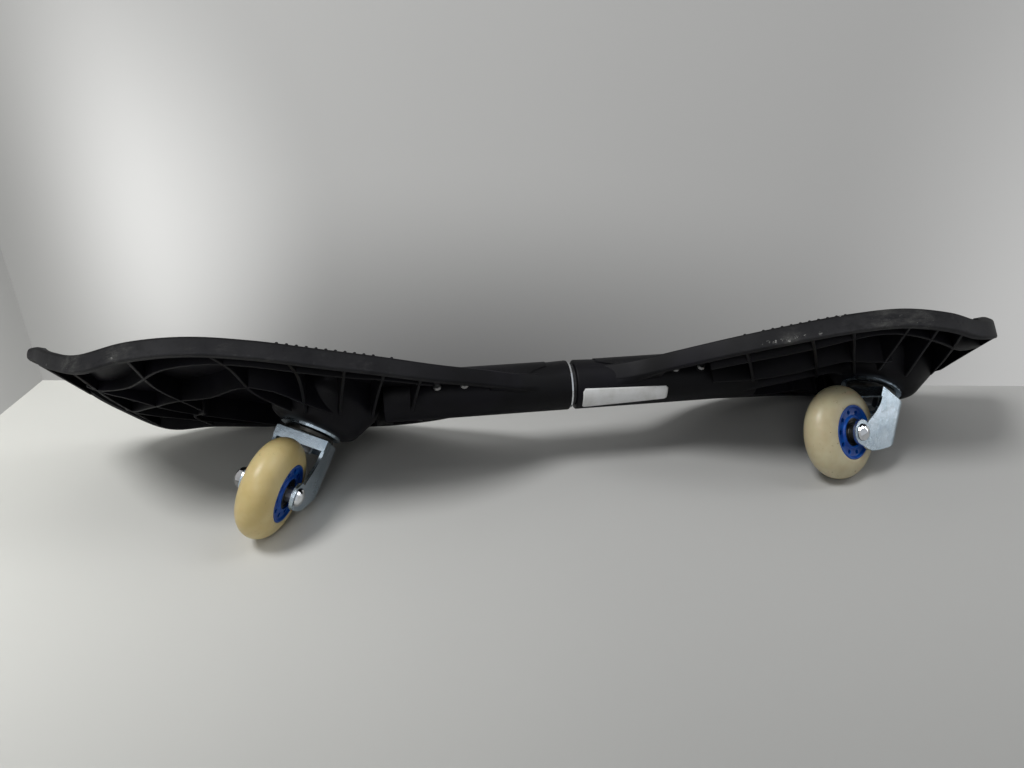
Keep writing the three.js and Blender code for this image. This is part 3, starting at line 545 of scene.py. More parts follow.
decks = {
    "nose": {
        "side": -1,
        "length": 416,
        "half_width": 112.4,
        "lip_height": 13,
        "tip_rise": 57,
        "neck_face": 3.4,
        "caster_place": 206.9,
        "cross_bolt_place": 87.7,
        "cross_bolt_rise": 0.4,
        "rim_shares": [
            (0.05, 0.158, 0.12), (0.085, 0.19, 0.11), (0.115, 0.235, 0.105), (0.172, 0.385, 0.1),
            (0.257, 0.585, 0.095), (0.354, 0.77, 0.14), (0.451, 0.885, 0.215), (0.547, 0.97, 0.305),
            (0.644, 1, 0.375), (0.74, 0.93, 0.4), (0.822, 0.815, 0.36), (0.9, 0.545, 0.6),
            (0.965, 0.21, 0.9), (1, 0, 1),
        ],
        "keel_shares": [
            (0.1, -0.6), (0.36, -0.64), (0.41, -0.92), (0.5, -0.84), (0.62, -0.3), (0.82, 0.3), (1, 1.45),
        ],
        "rib_shares": [
            [(0.27, -0.86), (0.42, -0.88), (0.6, -0.88), (0.69, -0.8), (0.79, -0.48), (0.855, -0.4)],
            [(0.615, -1), (0.592, -0.83), (0.568, -0.48), (0.52, -0.31)],
            [(0.739, -1), (0.734, -0.41), (0.69, -0.05)],
            [(0.43, -0.28), (0.56, -0.6), (0.656, -0.33), (0.729, -0.18), (0.859, 0.48)],
            [(0.497, -1), (0.488, -0.83), (0.495, -0.3)],
            [(0.411, -1), (0.438, -0.3)],
            [(0.349, -1), (0.382, -0.2)],
            [(0.29, -1), (0.31, -0.2)],
            [(0.833, -1), (0.85, 0), (0.833, 1)],
            [(0.93, -1), (0.93, 1)],
        ],
    },
    "tail": {
        "side": 1,
        "length": 374,
        "half_width": 103.8,
        "lip_height": 14.4,
        "tip_rise": 35,
        "neck_face": 1.2,
        "caster_place": 255.6,
        "cross_bolt_place": 81.5,
        "cross_bolt_rise": 2.4,
        "rim_shares": [
            (0.05, 0.16, 0.3), (0.092, 0.2, 0.295), (0.132, 0.25, 0.3), (0.204, 0.425, 0.31),
            (0.295, 0.645, 0.32), (0.4, 0.825, 0.355), (0.505, 0.945, 0.4), (0.609, 1, 0.4),
            (0.713, 0.965, 0.28), (0.79, 0.84, 0.2), (0.86, 0.68, 0.3), (0.925, 0.42, 0.52),
            (0.975, 0.2, 0.8), (1, 0, 1),
        ],
        "keel_shares": [
            (0.1, -0.64), (0.47, -0.66), (0.56, -0.55), (0.63, -0.9), (0.745, -1), (0.815, -0.6),
            (0.915, 0), (1, 0.7),
        ],
        "rib_shares": [
            [(0.27, -0.74), (0.435, -0.78), (0.6, -0.9), (0.73, -0.81), (0.8, -0.74), (0.92, -0.7)],
            [(0.29, -0.4), (0.39, -0.34), (0.585, -0.48), (0.65, -0.54)],
            [(0.36, -0.1), (0.49, -0.24), (0.58, -0.26)],
            [(0.32, -1), (0.38, -0.3)],
            [(0.435, -1), (0.53, -0.2)],
            [(0.51, -1), (0.6, -0.3)],
            [(0.62, -1), (0.64, -0.4)],
            [(0.68, -1), (0.72, -0.2)],
            [(0.74, -1), (0.8, -0.2)],
            [(0.88, -1), (0.86, 0), (0.88, 1)],
        ],
    },
}


# %% A curve through points
curve_steps = 24


def centripetal(points, steps):
    """Even points along a centripetal curve that passes through the given points."""
    first = points[0] * 2 - points[1]
    last = points[-1] * 2 - points[-2]
    padded = [first, *points, last]
    made = []
    for before, start, end, after in zip(padded, padded[1:], padded[2:], padded[3:]):
        gaps = [max((b - a).length ** 0.5, 1e-6) for a, b in ((before, start), (start, end), (end, after))]
        leave = ((start - before) / gaps[0] - (end - before) / (gaps[0] + gaps[1]) + (end - start) / gaps[1])
        reach = ((end - start) / gaps[1] - (after - start) / (gaps[1] + gaps[2]) + (after - end) / gaps[2])
        leave, reach = leave * gaps[1], reach * gaps[1]
        for i in range(curve_steps):
            t = i / curve_steps
            made.append(
                start * (2 * t**3 - 3 * t**2 + 1) + leave * (t**3 - 2 * t**2 + t)
                + end * (3 * t**2 - 2 * t**3) + reach * (t**3 - t**2)
            )
    made.append(points[-1].copy())
    return evenly(made, steps)


def evenly(points, steps):
    """The same line with its points spread evenly along it."""
    reached = [0.0]
    for a, b in zip(points, points[1:]):
        reached.append(reached[-1] + (b - a).length)
    made, at = [], 0
    for i in range(steps + 1):
        goal = reached[-1] * i / steps
        while at < len(points) - 2 and reached[at + 1] < goal:
            at += 1
        share = (goal - reached[at]) / max(reached[at + 1] - reached[at], 1e-9)
        made.append(points[at].lerp(points[at + 1], min(max(share, 0), 1)))
    return made


def along_table(table, value):
    """Straight-line reading of a table of (place, value) pairs."""
    for (a, low), (b, high) in zip(table, table[1:]):
        if value <= b:
            share = min(max((value - a) / (b - a), 0), 1)
            return low + (high - low) * share
    return table[-1][1]


def smooth_share(low, high, value):
    """0 under low, 1 over high, smooth between."""
    share = min(max((value - low) / (high - low), 0), 1)
    return share * share * (3 - 2 * share)


# %% The rim, the riding surface and the belly
rim_steps = 90


def rim_of(deck):
    near = [
        Vector((s * deck["length"], -w * deck["half_width"], z * deck["tip_rise"]))
        for s, w, z in deck["rim_shares"]
    ]
    mirrored = [Vector((point.x, -point.y, point.z)) for point in reversed(near[:-1])]
    line = centripetal(near + mirrored, 2 * rim_steps)
    deck["rim"] = line
    deck["outward"] = []
    for i in range(len(line)):
        ahead = line[min(i + 1, len(line) - 1)] - line[max(i - 1, 0)]
        deck["outward"].append(Vector((ahead.y, -ahead.x, 0)).normalized())
    deck["half_widths"] = [(point.x, -point.y) for point in line[: rim_steps + 1]]
    deck["rim_heights"] = [(point.x, point.z) for point in line[: rim_steps + 1]]


def top_height(deck, along, across):
    out = max(along_table(deck["half_widths"], along), 1e-3)
    high = along_table(deck["rim_heights"], along)
    from_middle = min(1, abs(across) / max(out, rib_thickness))
    dish = dish_depth * (1 - from_middle**2) * min(1, out / deck["half_width"])
    fade = 1 - smooth_share(hump_start, hump_end, along)
    tube_top = math.sqrt(max(0, neck_radius**2 - across**2))
    return high - dish + max(0, tube_top - high + dish) * fade


def belly_height(deck, along, across):
    out = along_table(deck["half_widths"], along)
    foot = along_table(deck["rim_heights"], along) - deck["lip_height"] + rib_recess
    keel = min(foot, along_table(deck["keel_shares"], along / deck["length"]) * keel_depth)
    share = min(1, abs(across) / max(out, rib_thickness))
    return keel + (foot - keel) * share


def caster_frame(deck):
    turn = Matrix.Rotation(caster_incline, 4, "Y")
    return Matrix.Translation((deck["side"] * deck["caster_place"], 0, -caster_drop)) @ turn


def above_swing(deck, along, across, height):
    """Raises a height until it clears the room that the caster swings in."""
    to_caster = caster_frame(deck).inverted()
    limits = [(share * pedestal_radius, -down * swing_drop) for share, down in swing_shares]
    for _ in range(most_lifts):
        place = to_caster @ Vector((deck["side"] * along, across, height))
        out = math.hypot(place.x, place.y)
        if out > limits[-1][0] or place.z > along_table(limits[:-1], out):
            return height
        height += swing_lift
    return height


for deck in decks.values():
    rim_of(deck)
    print("rim points:", len(deck["rim"]), "widest:", round(max(w for _, w in deck["half_widths"]), 1), "mm")

# %% [markdown]
# ## The skin of a deck
# The skin is a thin shell. We could thicken one surface with a modifier, but its edge hides in the lip, so
# two plain grids, one above and one below, are simpler and lighter. Columns crowd towards the middle,
# where the neck's crown needs them.

# %% Skin
across_steps = 40
crowding = 1.5


def deck_piece(name, part, rows, faces, finish="deck_plastic", smooth_angle=35):
    body = f"{name}_half"
    return piece(f"{name}_{part}", rows, faces, finish, body, smooth_angle=smooth_angle)


def flipped(deck, point):
    return Vector((deck["side"] * point.x, point.y, point.z))


def skin_rows(deck, drop):
    rows = []
    for point, outward in zip(deck["rim"][: rim_steps + 1], deck["outward"]):
        edge = point - outward * (lip_wall / 2)
        row = []
        for j in range(across_steps + 1):
            share = 2 * j / across_steps - 1
            across = math.copysign(abs(share) ** crowding, share) * edge.y
            row.append(flipped(deck, Vector((edge.x, across, top_height(deck, edge.x, across) - drop))))
        rows.append(row)
    return rows


def make_skin(name, deck):
    top = skin_rows(deck, 0)
    under = skin_rows(deck, skin_thickness)
    count = len(top) * len(top[0])
    faces = strip(top) + [tuple(i + count for i in face) for face in strip(under)]
    return deck_piece(name, "skin", top + under, faces)


# %% [markdown]
# ## The lip
# The lip is one rounded section swept round the rim, thicker at the tip. Its foot is clipped at the floor,
# where the board rests on it. Near the neck a shoulder runs each lip smoothly into the side of the tube.

# %% Lip
floor_clearance = 0.05


def lip_section(wall, height):
    inner_top = (-wall, -dish_depth / 4)
    outer = rounded([(-wall, -height), (0, -height), (0, 0), inner_top], lip_round, 6)
    return outer[:-1] + [inner_top]


def on_floor(point):
    """Keeps a point of the board's frame from sinking below the floor."""
    world = board_matrix @ point
    world.z = max(world.z, floor_clearance * millimetre)
    return board_matrix.inverted() @ world


def make_lip(name, deck):
    rows = []
    for point, outward in zip(deck["rim"], deck["outward"]):
        near_tip = smooth_share(deck["length"] - tip_length, deck["length"], point.x)
        height = deck["lip_height"] * (1 - (1 - tip_lip_share) * near_tip)
        section = lip_section(lip_wall + tip_wall * near_tip, height)
        places = [point + outward * (out - skin_inset) + Vector((0, 0, high)) for out, high in section]
        rows.append([on_floor(flipped(deck, place)) for place in places])
    return deck_piece(name, "lip", rows, swept(rows), "lip_plastic")


# %% Shoulders
shoulder_start = 22
shoulder_fade = 38
shoulder_end = 68
shoulder_foot = math.radians(26)
shoulder_inset = 0.5


def shoulder_row(deck, along, way):
    out = along_table(deck["half_widths"], along) - shoulder_inset
    high = along_table(deck["rim_heights"], along)
    lip_foot = Vector((out, high - deck["lip_height"] + shoulder_inset))
    tube_side = Vector((math.cos(shoulder_foot), -math.sin(shoulder_foot))) * neck_radius
    tube_side = tube_side.lerp(lip_foot, 0.9 * smooth_share(shoulder_fade, shoulder_end, along))
    outline = [(neck_radius / 2, -neck_radius / 4), tube_side, lip_foot, (out, high - lip_round)]
    outline = rounded(outline, 3, 5) + [(neck_radius / 2, high - skin_thickness)]
    return [flipped(deck, Vector((along, way * across, up))) for across, up in outline]


def make_shoulders(name, deck):
    for letter, way in (("a", -1), ("b", 1)):
        places = [shoulder_start + (shoulder_end - shoulder_start) * i / 20 for i in range(21)]
        rows = [shoulder_row(deck, along, way) for along in places]
        deck_piece(name, f"shoulder_{letter}", rows, swept(rows))


# %% [markdown]
# ## Ribs
# Under the skin, thin ribs stiffen the deck. They follow lines chosen from the photograph: some run along
# the deck, some cross it, and some sweep round the pedestal. Each rib is a tall strip whose foot follows
# the belly and steps back where the caster needs room to swing. A small bevel rounds its foot.

# %% Ribs
rib_steps = 28
rib_taper = 0.8


def rib_line(deck, line):
    knots = [Vector((s, w, 0)) for s, w in line]
    spread = centripetal(knots, rib_steps) if len(knots) > 2 else evenly(knots, rib_steps)
    places = []
    for spot in spread:
        along = spot.x * deck["length"]
        out = along_table(deck["half_widths"], along) - lip_wall / 2
        places.append(Vector((along, spot.y * out, 0)))
    return places


def rib_rows(deck, line):
    places = rib_line(deck, line)
    rows = []
    for i, place in enumerate(places):
        ahead = places[min(i + 1, len(places) - 1)] - places[max(i - 1, 0)]
        aside = Vector((-ahead.y, ahead.x, 0)).normalized() * (rib_thickness / 2)
        top = top_height(deck, place.x, place.y) - skin_thickness / 2
        foot = min(belly_height(deck, place.x, place.y), top - skin_thickness)
        foot = min(above_swing(deck, place.x, place.y, foot), top - skin_thickness / 2)
        corners = [(-rib_taper, foot), (rib_taper, foot), (1, top), (-1, top)]
        rows.append([flipped(deck, place + aside * turn + Vector((0, 0, high))) for turn, high in corners])
    return rows


def make_ribs(name, deck):
    for number, line in enumerate(deck["rib_shares"]):
        for letter, way in (("a", 1), ("b", -1)):
            rows = rib_rows(deck, [(s, w * way) for s, w in line])
            rib = deck_piece(name, f"rib_{number + 1}{letter}", rows, swept(rows))
            bevelled(rib, 0.6, 2, 50)


# %% [markdown]
# ## Neck and pedestal
# The neck is a turned tube whose top melts into the riding surface, so its points are pressed down to just
# under the skin. The pedestal is a flared, turned boss that leans with the swivel axis and ends in a flat
# face for the mounting plate.

# %% Neck and pedestal
neck_chamfer = 1.6
neck_seat = 0.05
neck_step = 5
neck_start = 40
sleeve_bore = 14.9
sleeve_depth = 12
turn_steps = 96
boss_pitch = 21.1
boss_radius = 4.4
boss_reach = 20.6
boss_root = 10
bolt_bore = 2.2
bolt_bore_end = 15
kingpin_bore = 4.4
kingpin_bore_end = 6
pedestal_face_radius = 27
pedestal_rim = 3.5
flare_radius = 43
flare_heights = [24, 30, 36, 42, 50, 58, 67]


def under_skin(deck, point):
    along = deck["side"] * point.x
    if along > deck["rim"][0].x:
        ceiling = top_height(deck, along, point.y) - skin_thickness / 2
        point.z = min(point.z, ceiling)
    return point


def make_neck(name, deck):
    face, outside = deck["neck_face"], neck_radius - neck_seat
    profile = [(sleeve_bore, face + sleeve_depth), (sleeve_bore, face)]
    profile += rounded([(sleeve_bore, face), (outside, face), (outside, neck_start)], neck_chamfer, 6)[1:]
    profile += [(outside, along) for along in range(neck_start + neck_step, tube_length + 1, neck_step)]
    profile += [(neck_radius - 2, tube_length + 1), (0.01, tube_length + 1)]
    turn = Matrix.Rotation(deck["side"] * math.pi / 2, 4, "Y")
    rows = [[under_skin(deck, turn @ point) for point in row] for row in turned(profile, turn_steps)]
    return deck_piece(name, "neck", rows, strip(rows, closed_along=True), smooth_angle=50)


def make_bosses(name, deck):
    outline = [(bolt_bore, bolt_bore_end), (bolt_bore, boss_reach)]
    outline += [(boss_radius, boss_reach), (boss_radius, boss_root)]
    profile = rounded(outline, 0.8, 3)
    first = deck["cross_bolt_place"]
    for number, place in enumerate((first, first + boss_pitch)):
        for letter, way in (("a", -1), ("b", 1)):
            turn = Matrix.Rotation(-way * math.pi / 2, 4, "X")
            spot = Matrix.Translation((deck["side"] * place, 0, deck["cross_bolt_rise"])) @ turn
            rows = [[spot @ point for point in row] for row in turned(profile, 32)]
            deck_piece(name, f"boss_{number + 1}{letter}", rows, strip(rows, closed_along=True))


def make_pedestal(name, deck):
    flare = [(flare_radius, height) for height in flare_heights]
    outline = [(kingpin_bore, kingpin_bore_end), (kingpin_bore, 0), (pedestal_face_radius, 0)]
    profile = rounded([*outline, (pedestal_radius, pedestal_rim), *flare[:2]], 3, 6) + flare[2:]
    spot = caster_frame(deck)
    rows = [[under_skin(deck, spot @ point) for point in row] for row in turned(profile, turn_steps)]
    return deck_piece(name, "pedestal", rows, strip(rows, closed_along=True), smooth_angle=50)


# %% [markdown]
# ## Traction studs
# The riding surface has rows of small round studs for grip, in a patch under each foot. Hundreds of
# separate objects would be slow, so all studs of a deck are one mesh.

# %% Studs
stud_pitch = 7.8
stud_radius = 1.3
stud_height = 1.4
stud_root = 0.4
stud_sides = 8
stud_ranges = {"nose": (122, 300), "tail": (112, 270)}
stud_margin = 9.08
edge_rows = {"nose": (140, 13, 4.4), "tail": (122, 12, 5.6)}
edge_pitch = 6.1


def stud_places(name, deck):
    """A staggered patch of studs, and a short row along each lip with one stud broken off."""
    low, high = stud_ranges[name]
    places = []
    row = 0
    along = low
    while along <= high:
        out = along_table(deck["half_widths"], along)
        offset = 0.5 if row % 2 else 0.0
        for i in range(-20, 21):
            across = (i + offset) * stud_pitch
            if abs(across) < out - stud_margin:
                places.append((along, across))
        row += 1
        along += stud_pitch
    start, count, inset = edge_rows[name]
    for i in (0, *range(2, count)):
        out = along_table(deck["half_widths"], start + i * edge_pitch) - inset
        places += [(start + i * edge_pitch, out), (start + i * edge_pitch, -out)]
    return places


def make_studs(name, deck):
    shape = [(stud_radius, -stud_root), (stud_radius * 0.85, stud_height * 0.7)]
    shape.append((stud_radius * 0.5, stud_height))
    rings = list(zip(*turned(shape, stud_sides)))
    top = tuple(range(2 * stud_sides, 3 * stud_sides))
    feet = [Vector((*place, top_height(deck, *place))) for place in stud_places(name, deck)]
    rows, faces = repeated(rings, strip(rings, closed_across=True) + [top], feet)
    print(name, "studs:", len(feet))
    rows = [[flipped(deck, point) for point in row] for row in rows]
    return deck_piece(name, "studs", rows, faces, smooth_angle=60)


for name, deck in decks.items():
    skin = make_skin(name, deck)
    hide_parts(f"{name}_deck")
    make_lip(name, deck)
    make_shoulders(name, deck)
    make_ribs(name, deck)
    make_neck(name, deck)
    make_bosses(name, deck)
    make_pedestal(name, deck)
    make_studs(name, deck)

# %% [markdown]
# ## The sticker
# The sticker wraps part of the way round the tail's half of the neck. It is a small curved sheet, a tenth
# of a millimetre proud of the tube, with rounded corners. A corner's radius is a share of its mean width.

# %% Sticker
sticker_start = 5.5
sticker_length = 69
sticker_angles = [(math.radians(205.5), math.radians(262)), (math.radians(212), math.radians(249))]
sticker_lift = 0.15
sticker_thickness = 0.12
sticker_corner = 0.12
sticker_width = 13.5


def make_sticker():
    rows = []
    steps_along, steps_round = 40, 14
    corner = sticker_corner
    radius = neck_radius + sticker_lift
    for i in range(steps_along + 1):
        share = i / steps_along
        from_end = min(share, 1 - share) * sticker_length / sticker_width
        squeeze = 0 if from_end > corner else corner - math.sqrt(max(corner**2 - (corner - from_end) ** 2, 0))
        row = []
        for j in range(steps_round + 1):
            turn = squeeze + (1 - 2 * squeeze) * j / steps_round
            first, last = [a + (b - a) * share for a, b in zip(*sticker_angles)]
            angle = first + (last - first) * turn
            across, up = radius * math.cos(angle), radius * math.sin(angle)
            row.append(Vector((sticker_start + share * sticker_length, across, up)))
        rows.append(row)
    made = piece("tail_sticker", rows, strip(rows), "sticker_paper", "tail_half")
    thicken = made.modifiers.new("paper", "SOLIDIFY")
    thicken.thickness = sticker_thickness * millimetre
    thicken.offset = -1
    return made


make_sticker()
print("sticker", sticker_length, "mm long")

# %% [markdown]
# ## Wheels
# A wheel is a cream tyre on a blue core with two ball bearings. The working model's tyre has 28 flat facets,
# so we turn a finer one that touches the middle of each. All the turned pieces of a wheel share one frame:
# the axle's.

# %% Wheel frame
facet_corner = 38
facet_count = 28
wheel_radius = facet_corner * math.cos(math.pi / facet_count)
tyre_half_width = 13.4
shoulder_radius = 22.4
hub_radius = 21.6
hub_half_width = 13.4
hub_dish = 1.6
hub_rim = 2.2
bearing_radius = 11
bearing_width = 7
bearing_inset = 1


def axle_frame(name):
    """The wheel's frame: local Z along the axle, from the far side to the near side."""
    joint = joints[f"{name}_wheel_spin"]
    axis = Vector(joint["axis"]).normalized()
    turn = axis.to_track_quat("Z", "X").to_matrix().to_4x4()
    return Matrix.Translation(joint["pos_m"]) @ turn @ Matrix.Scale(millimetre, 4)


def turned_piece(label, profile, finish, body, matrix, steps=128, angle=35):
    rows = turned(profile, steps)
    faces = strip(rows, closed_across=True, closed_along=True)
    return piece(label, rows, faces, finish, body, matrix=matrix, smooth_angle=angle)


# %% Tyres
tread_steps = 24
seat_gap = 0.3


def tyre_profile():
    tread = []
    for i in range(-tread_steps, tread_steps + 1):
        turn = i / tread_steps * math.pi / 2
        out = shoulder_radius + (wheel_radius - shoulder_radius) * math.cos(turn)
        tread.append((out, tyre_half_width * math.sin(turn)))
    seat = hub_radius + seat_gap
    return [(seat, -hub_half_width + 0.2), *tread, (seat, hub_half_width - 0.2)]


# %% [markdown]
# ## The blue core
# The core's face is dished, with ten small round pockets between two rims. Cutting the pockets with a
# boolean keeps their edges crisp.

# %% Cores
core_bore = 8.6
pocket_count = 10
pocket_radius = 1.9
pocket_place = 16.3
pocket_depth = 3.5
pocket_sides = 20


def core_profile():
    inner = bearing_radius + seat_gap
    face = hub_half_width - hub_dish
    seat = hub_half_width - bearing_inset - bearing_width - seat_gap
    half = [
        (core_bore, seat), (inner, seat), (inner, hub_half_width), (inner + hub_rim * 0.6, hub_half_width),
        (inner + hub_rim, face), (hub_radius - hub_rim, face), (hub_radius - hub_rim * 0.6, hub_half_width),
        (hub_radius, hub_half_width),
    ]
    whole = half + [(r, -h) for r, h in reversed(half)]
    return rounded(whole, 0.5, 3)


def pocket_cutter(matrix):
    """Ten drills from each side, as one object."""
    ends = [hub_half_width - hub_dish - pocket_depth, hub_half_width + 2]
    drills = [(pocket_radius, way * end) for way in (-1, 1) for end in ends]
    rings = list(zip(*turned(drills, pocket_sides)))
    faces = swept(rings[:2])
    faces += [tuple(i + 2 * pocket_sides for i in face) for face in faces]
    angles = [2 * math.pi * i / pocket_count for i in range(pocket_count)]
    middles = [Vector((math.cos(angle), math.sin(angle), 0)) * pocket_place for angle in angles]
    return shown("pockets", placed_mesh("pockets", *repeated(rings, faces, middles), matrix))


def cut_pockets(core, matrix):
    cutter = pocket_cutter(matrix)
    cut = core.modifiers.new("pockets", "BOOLEAN")
    cut.operation = "DIFFERENCE"
    cut.solver = "EXACT"
    cut.object = cutter
    bpy.context.view_layer.update()
    ready = bpy.data.meshes.new_from_object(core.evaluated_get(bpy.context.evaluated_depsgraph_get()))
    core.modifiers.clear()
    core.data = ready
    smooth(ready, 35)
    bpy.data.objects.remove(cutter)
    return core


# %% Bearings
def bearing_profile(middle):
    low, high = middle - bearing_width / 2, middle + bearing_width / 2
    half = [
        (4.1, high - 0.1), (5.9, high - 0.1), (6.1, high - 0.6), (6.4, high - 0.6), (6.5, high - 0.25),
        (8.9, high - 0.25), (9.0, high - 0.6), (9.3, high - 0.6), (9.4, high - 0.05), (11, high - 0.05),
    ]
    other = [(r, low + high - h) for r, h in reversed(half)]
    return rounded(half + other, 0.12, 2)


for name in decks:
    spot = axle_frame(name)
    body = f"{name}_wheel"
    tyre = turned_piece(
        f"{name}_tyre_cast", tyre_profile(), f"{name}_urethane", body, spot, 160, 60
    )
    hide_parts(f"{name}_tyre")
    core = turned_piece(f"{name}_core", core_profile(), "blue_plastic", body, spot, 120)
    cut_pockets(core, spot)
    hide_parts(f"{name}_hub_core")
    middle = hub_half_width - bearing_inset - bearing_width / 2
    for word, way in (("near", 1), ("far", -1)):
        bearing = turned_piece(
            f"{name}_{word}_race", bearing_profile(way * middle), "dark_steel", body, spot, 96
        )
        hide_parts(f"{name}_{word}_bearing")
print("wheels turned, radius", round(wheel_radius, 2), "mm")

# %% [markdown]
# ## Metal pieces that keep their shape
# Forks, plates, bolts and nuts are already right in the working model. They only need a finish, smooth
# shading on their round faces and a fine bevel, because real pressed and turned metal has no sharp edge.

# %% Finishes on the kept pieces
slots = {entry["node"]: entry["material_slot"] for entry in frame["record"]["subparts"]}
shown_as = {"cream_urethane": "nose_urethane"}
# The race rings between plate and crown are given the dark steel.
shown_as |= {"nose_race_ring": "dark_steel", "tail_race_ring": "dark_steel"}
shown_as |= {name: "bare_steel" for name in nodes if "_cross_bolt_" in name}
for name, node in nodes.items():
    slot = slots[name]
    finish = shown_as.get(name, shown_as.get(slot, slot))
    node.data.materials.clear()
    node.data.materials.append(finishes[finish])
    if slot in ("zinc_steel", "bare_steel", "bright_metal", "dark_nylon"):
        smooth(node.data, 32)
        bevelled(node, 0.35 if slot == "zinc_steel" else 0.2, 2, 35)
print("kept pieces dressed:", len(nodes))

# %% [markdown]
# ## The room
# The board lies on a pale table in the corner of a pale box: a wall stands close behind it and another
# beyond its nose. The walls can't be seen from behind, so that the board can be looked at from every side,
# and the one beyond the nose lets the lamp's light through.
# The backdrop's paint fades from bright on the left to grey on the right: painted light, falling off away
# from the left. A few broad spots paint shade behind the board, in the far left corner and on the table in
# front, and light high on the left and on the right.
# A wall gets little of the light from overhead, so for the camera, and for what the metal mirrors, more than
# half of the wall's tone is a painted glow of its own colour. The light that falls on the board doesn't see it.

# %% Backdrop paint
# Painted light: where the backdrop's tone fades from the lit left to the dimmer right, in metres.
table_light_falloff = (-0.6, 0.15)
wall_light_falloff = (-0.6, 0.4)


def backdrop_paint(name, left, right, fade, spots, glow_share=0.0):
    finish = Finish(name, Specular_IOR_Level=0.2)
    parts = finish.node("ShaderNodeSeparateXYZ", Vector=finish.here)
    across = Reading(finish, parts.outputs["X"])
    cloud = finish.noise(300, detail=2)
    # Painted light, fading from left to right.
    colour = finish.blend(left, right, finish.between(*fade, across + 0.1 * cloud))
    # Each spot blends in a broad patch: the darker ones are painted shade, the brighter ones painted light.
    for place, stretch, radius, shade in spots:
        shift = -Vector(place) * Vector(stretch)
        scaled = finish.node("ShaderNodeMapping", Vector=finish.here, Location=shift, Scale=stretch)
        apart = finish.node("ShaderNodeVectorMath", {"operation": "LENGTH"}, i0=scaled.outputs[0])
        inside = 1 - finish.between(0.0, radius, Reading(finish, apart.outputs["Value"]))
        colour = finish.blend(colour, shade, inside)
    finish.paint(colour=colour, roughness=0.6 + 0.1 * cloud)
    rays = finish.node("ShaderNodeLightPath").outputs
    seen = Reading(finish, rays["Is Camera Ray"]) + Reading(finish, rays["Is Glossy Ray"])
    seen = (seen + Reading(finish, rays["Is Transmission Ray"])).clamped()
    # A painted glow of the paint's own colour, seen by the camera and in reflections.
    own = finish.node("ShaderNodeEmission", Color=colour, Strength=1.0).outputs[0]
    lit = finish.node("ShaderNodeMixShader", i0=seen * glow_share, i1=finish.shader.outputs[0], i2=own)
    behind = finish.node("ShaderNodeNewGeometry").outputs["Backfacing"]
    clear = finish.node("ShaderNodeBsdfTransparent").outputs[0]
    mixer = finish.node("ShaderNodeMixShader", i0=behind, i1=lit.outputs[0], i2=clear)
    finish.tree.links.new(mixer.outputs[0], finish.tree.nodes["Material Output"].inputs["Surface"])
    return finish.material


# %% Table and walls
corner = Vector((-0.481, 0.219, 0))
wall_heading = math.radians(-8.9)
wall_height = 1.2
back_wall_length = 2.4
side_wall_length = 0.9
table_reach = 4


def sheet(name, corners, material):
    data = bpy.data.meshes.new(name)
    data.from_pydata([tuple(point) for point in corners], [], [(0, 1, 2, 3)])
    data.materials.append(material)
    made = shown(name, data)
    return made


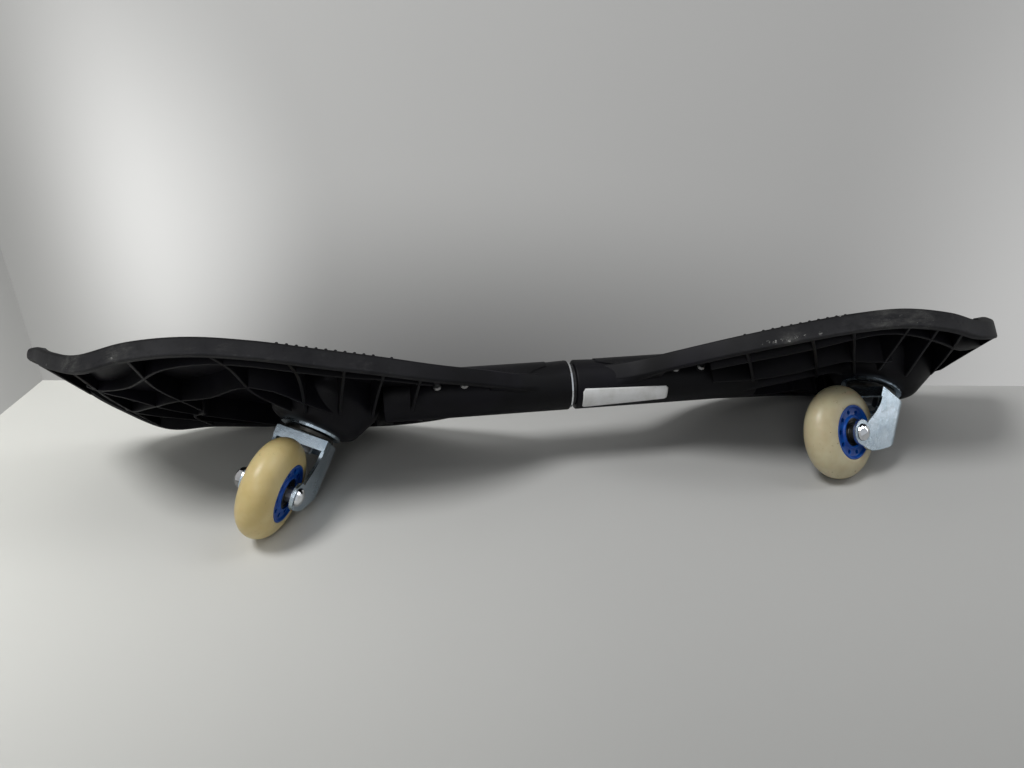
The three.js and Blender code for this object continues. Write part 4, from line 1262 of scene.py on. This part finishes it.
def make_room():
    along = Vector((math.cos(wall_heading), math.sin(wall_heading), 0))
    out = Vector((math.sin(wall_heading), -math.cos(wall_heading), 0))
    rise = Vector((0, 0, wall_height))
    right, front = corner + along * back_wall_length, corner + out * side_wall_length
    # A painted shadow: the table darker in front of the board, towards the camera.
    table_painted_shade = [((-0.05, -0.55, 0), (0.35, 1, 1), 0.48, tone(140, 140, 138))]
    table = backdrop_paint("table_paint", tone(236, 236, 230), tone(182, 182, 180), table_light_falloff, table_painted_shade)
    # Painted shade behind the board, painted light high on the left, painted shade in the far left corner, painted
    # light on the right.
    wall_painted_light_and_shade = [
        ((-0.04, 0.15, -0.02), (0.4, 1, 1), 0.24, tone(112, 112, 112)),
        ((-0.36, 0.2, 0.17), (1, 1, 0.8), 0.2, tone(250, 250, 248)),
        ((-0.5, 0.22, 0.2), (1, 1, 0.2), 0.18, tone(164, 164, 162)),
        ((0.55, 0.05, 0.12), (1, 1, 0.6), 0.3, tone(216, 216, 215)),
    ]
    # The wall's painted glow makes up 0.6 of its tone for the camera and in reflections.
    wall = backdrop_paint("wall_paint", tone(210, 210, 208), tone(178, 178, 177), wall_light_falloff, wall_painted_light_and_shade, 0.6)
    ways = [(-1, -1, 0), (1, -1, 0), (1, 1, 0), (-1, 1, 0)]
    sheet("table", [Vector(way) * table_reach for way in ways], table)
    sheet("back_wall", [corner, right, right + rise, corner + rise], wall)
    side_wall = sheet("side_wall", [front, corner, corner + rise, front + rise], wall)
    side_wall.visible_shadow = False


make_room()

# %% [markdown]
# ## Light
# In the photograph the shadow of the raised lip falls a little to the right, with a soft edge. So the main
# lamp hangs over the board's left. A large weak one on the right and an even world fill the shadows. The
# camera and what mirrors see the world brighter than the light that it gives. A weak lamp on the camera's
# side and a narrow one far to the right are there for the highlights on the two forks.


# %% Lamps
def lamp(name, place, aim, size, power):
    data = bpy.data.lights.new(name, "AREA")
    data.shape = "ELLIPSE"
    data.size, data.size_y = size
    data.energy = power
    made = shown(name, data)
    made.location = place
    made.rotation_euler = (Vector(aim) - Vector(place)).to_track_quat("-Z", "Y").to_euler()


lamp("ceiling", (-1.1, -0.5, 2.2), (0, 0, 0), (0.8, 0.8), 34)
lamp("fill", (1.2, 0.0, 1.7), (0.1, 0, 0), (1.2, 1.2), 11)
lamp("window", (-0.4, -1.3, 0.9), (0, 0, 0.05), (0.6, 0.6), 3)
lamp("strip", (1.25, -0.1, 0.3), (0.26, -0.03, 0.05), (0.14, 0.6), 0.55)
world = bpy.data.worlds.new("world")
world.use_nodes = True
world_tree = world.node_tree
rays = world_tree.nodes.new("ShaderNodeLightPath").outputs
seen = rays["Is Camera Ray"]
for kind in ("Is Glossy Ray", "Is Transmission Ray"):
    either = world_tree.nodes.new("ShaderNodeMath")
    either.operation = "MAXIMUM"
    world_tree.links.new(seen, either.inputs[0])
    world_tree.links.new(rays[kind], either.inputs[1])
    seen = either.outputs[0]
strength = world_tree.nodes.new("ShaderNodeMapRange")
strength.inputs["To Min"].default_value = 0.2
strength.inputs["To Max"].default_value = 0.7
world_tree.links.new(seen, strength.inputs["Value"])
world_tree.links.new(strength.outputs[0], world_tree.nodes["Background"].inputs["Strength"])
world_tree.nodes["Background"].inputs["Color"].default_value = tone(225, 228, 232)
bpy.context.scene.world = world
bpy.context.scene.view_settings.view_transform = "Standard"
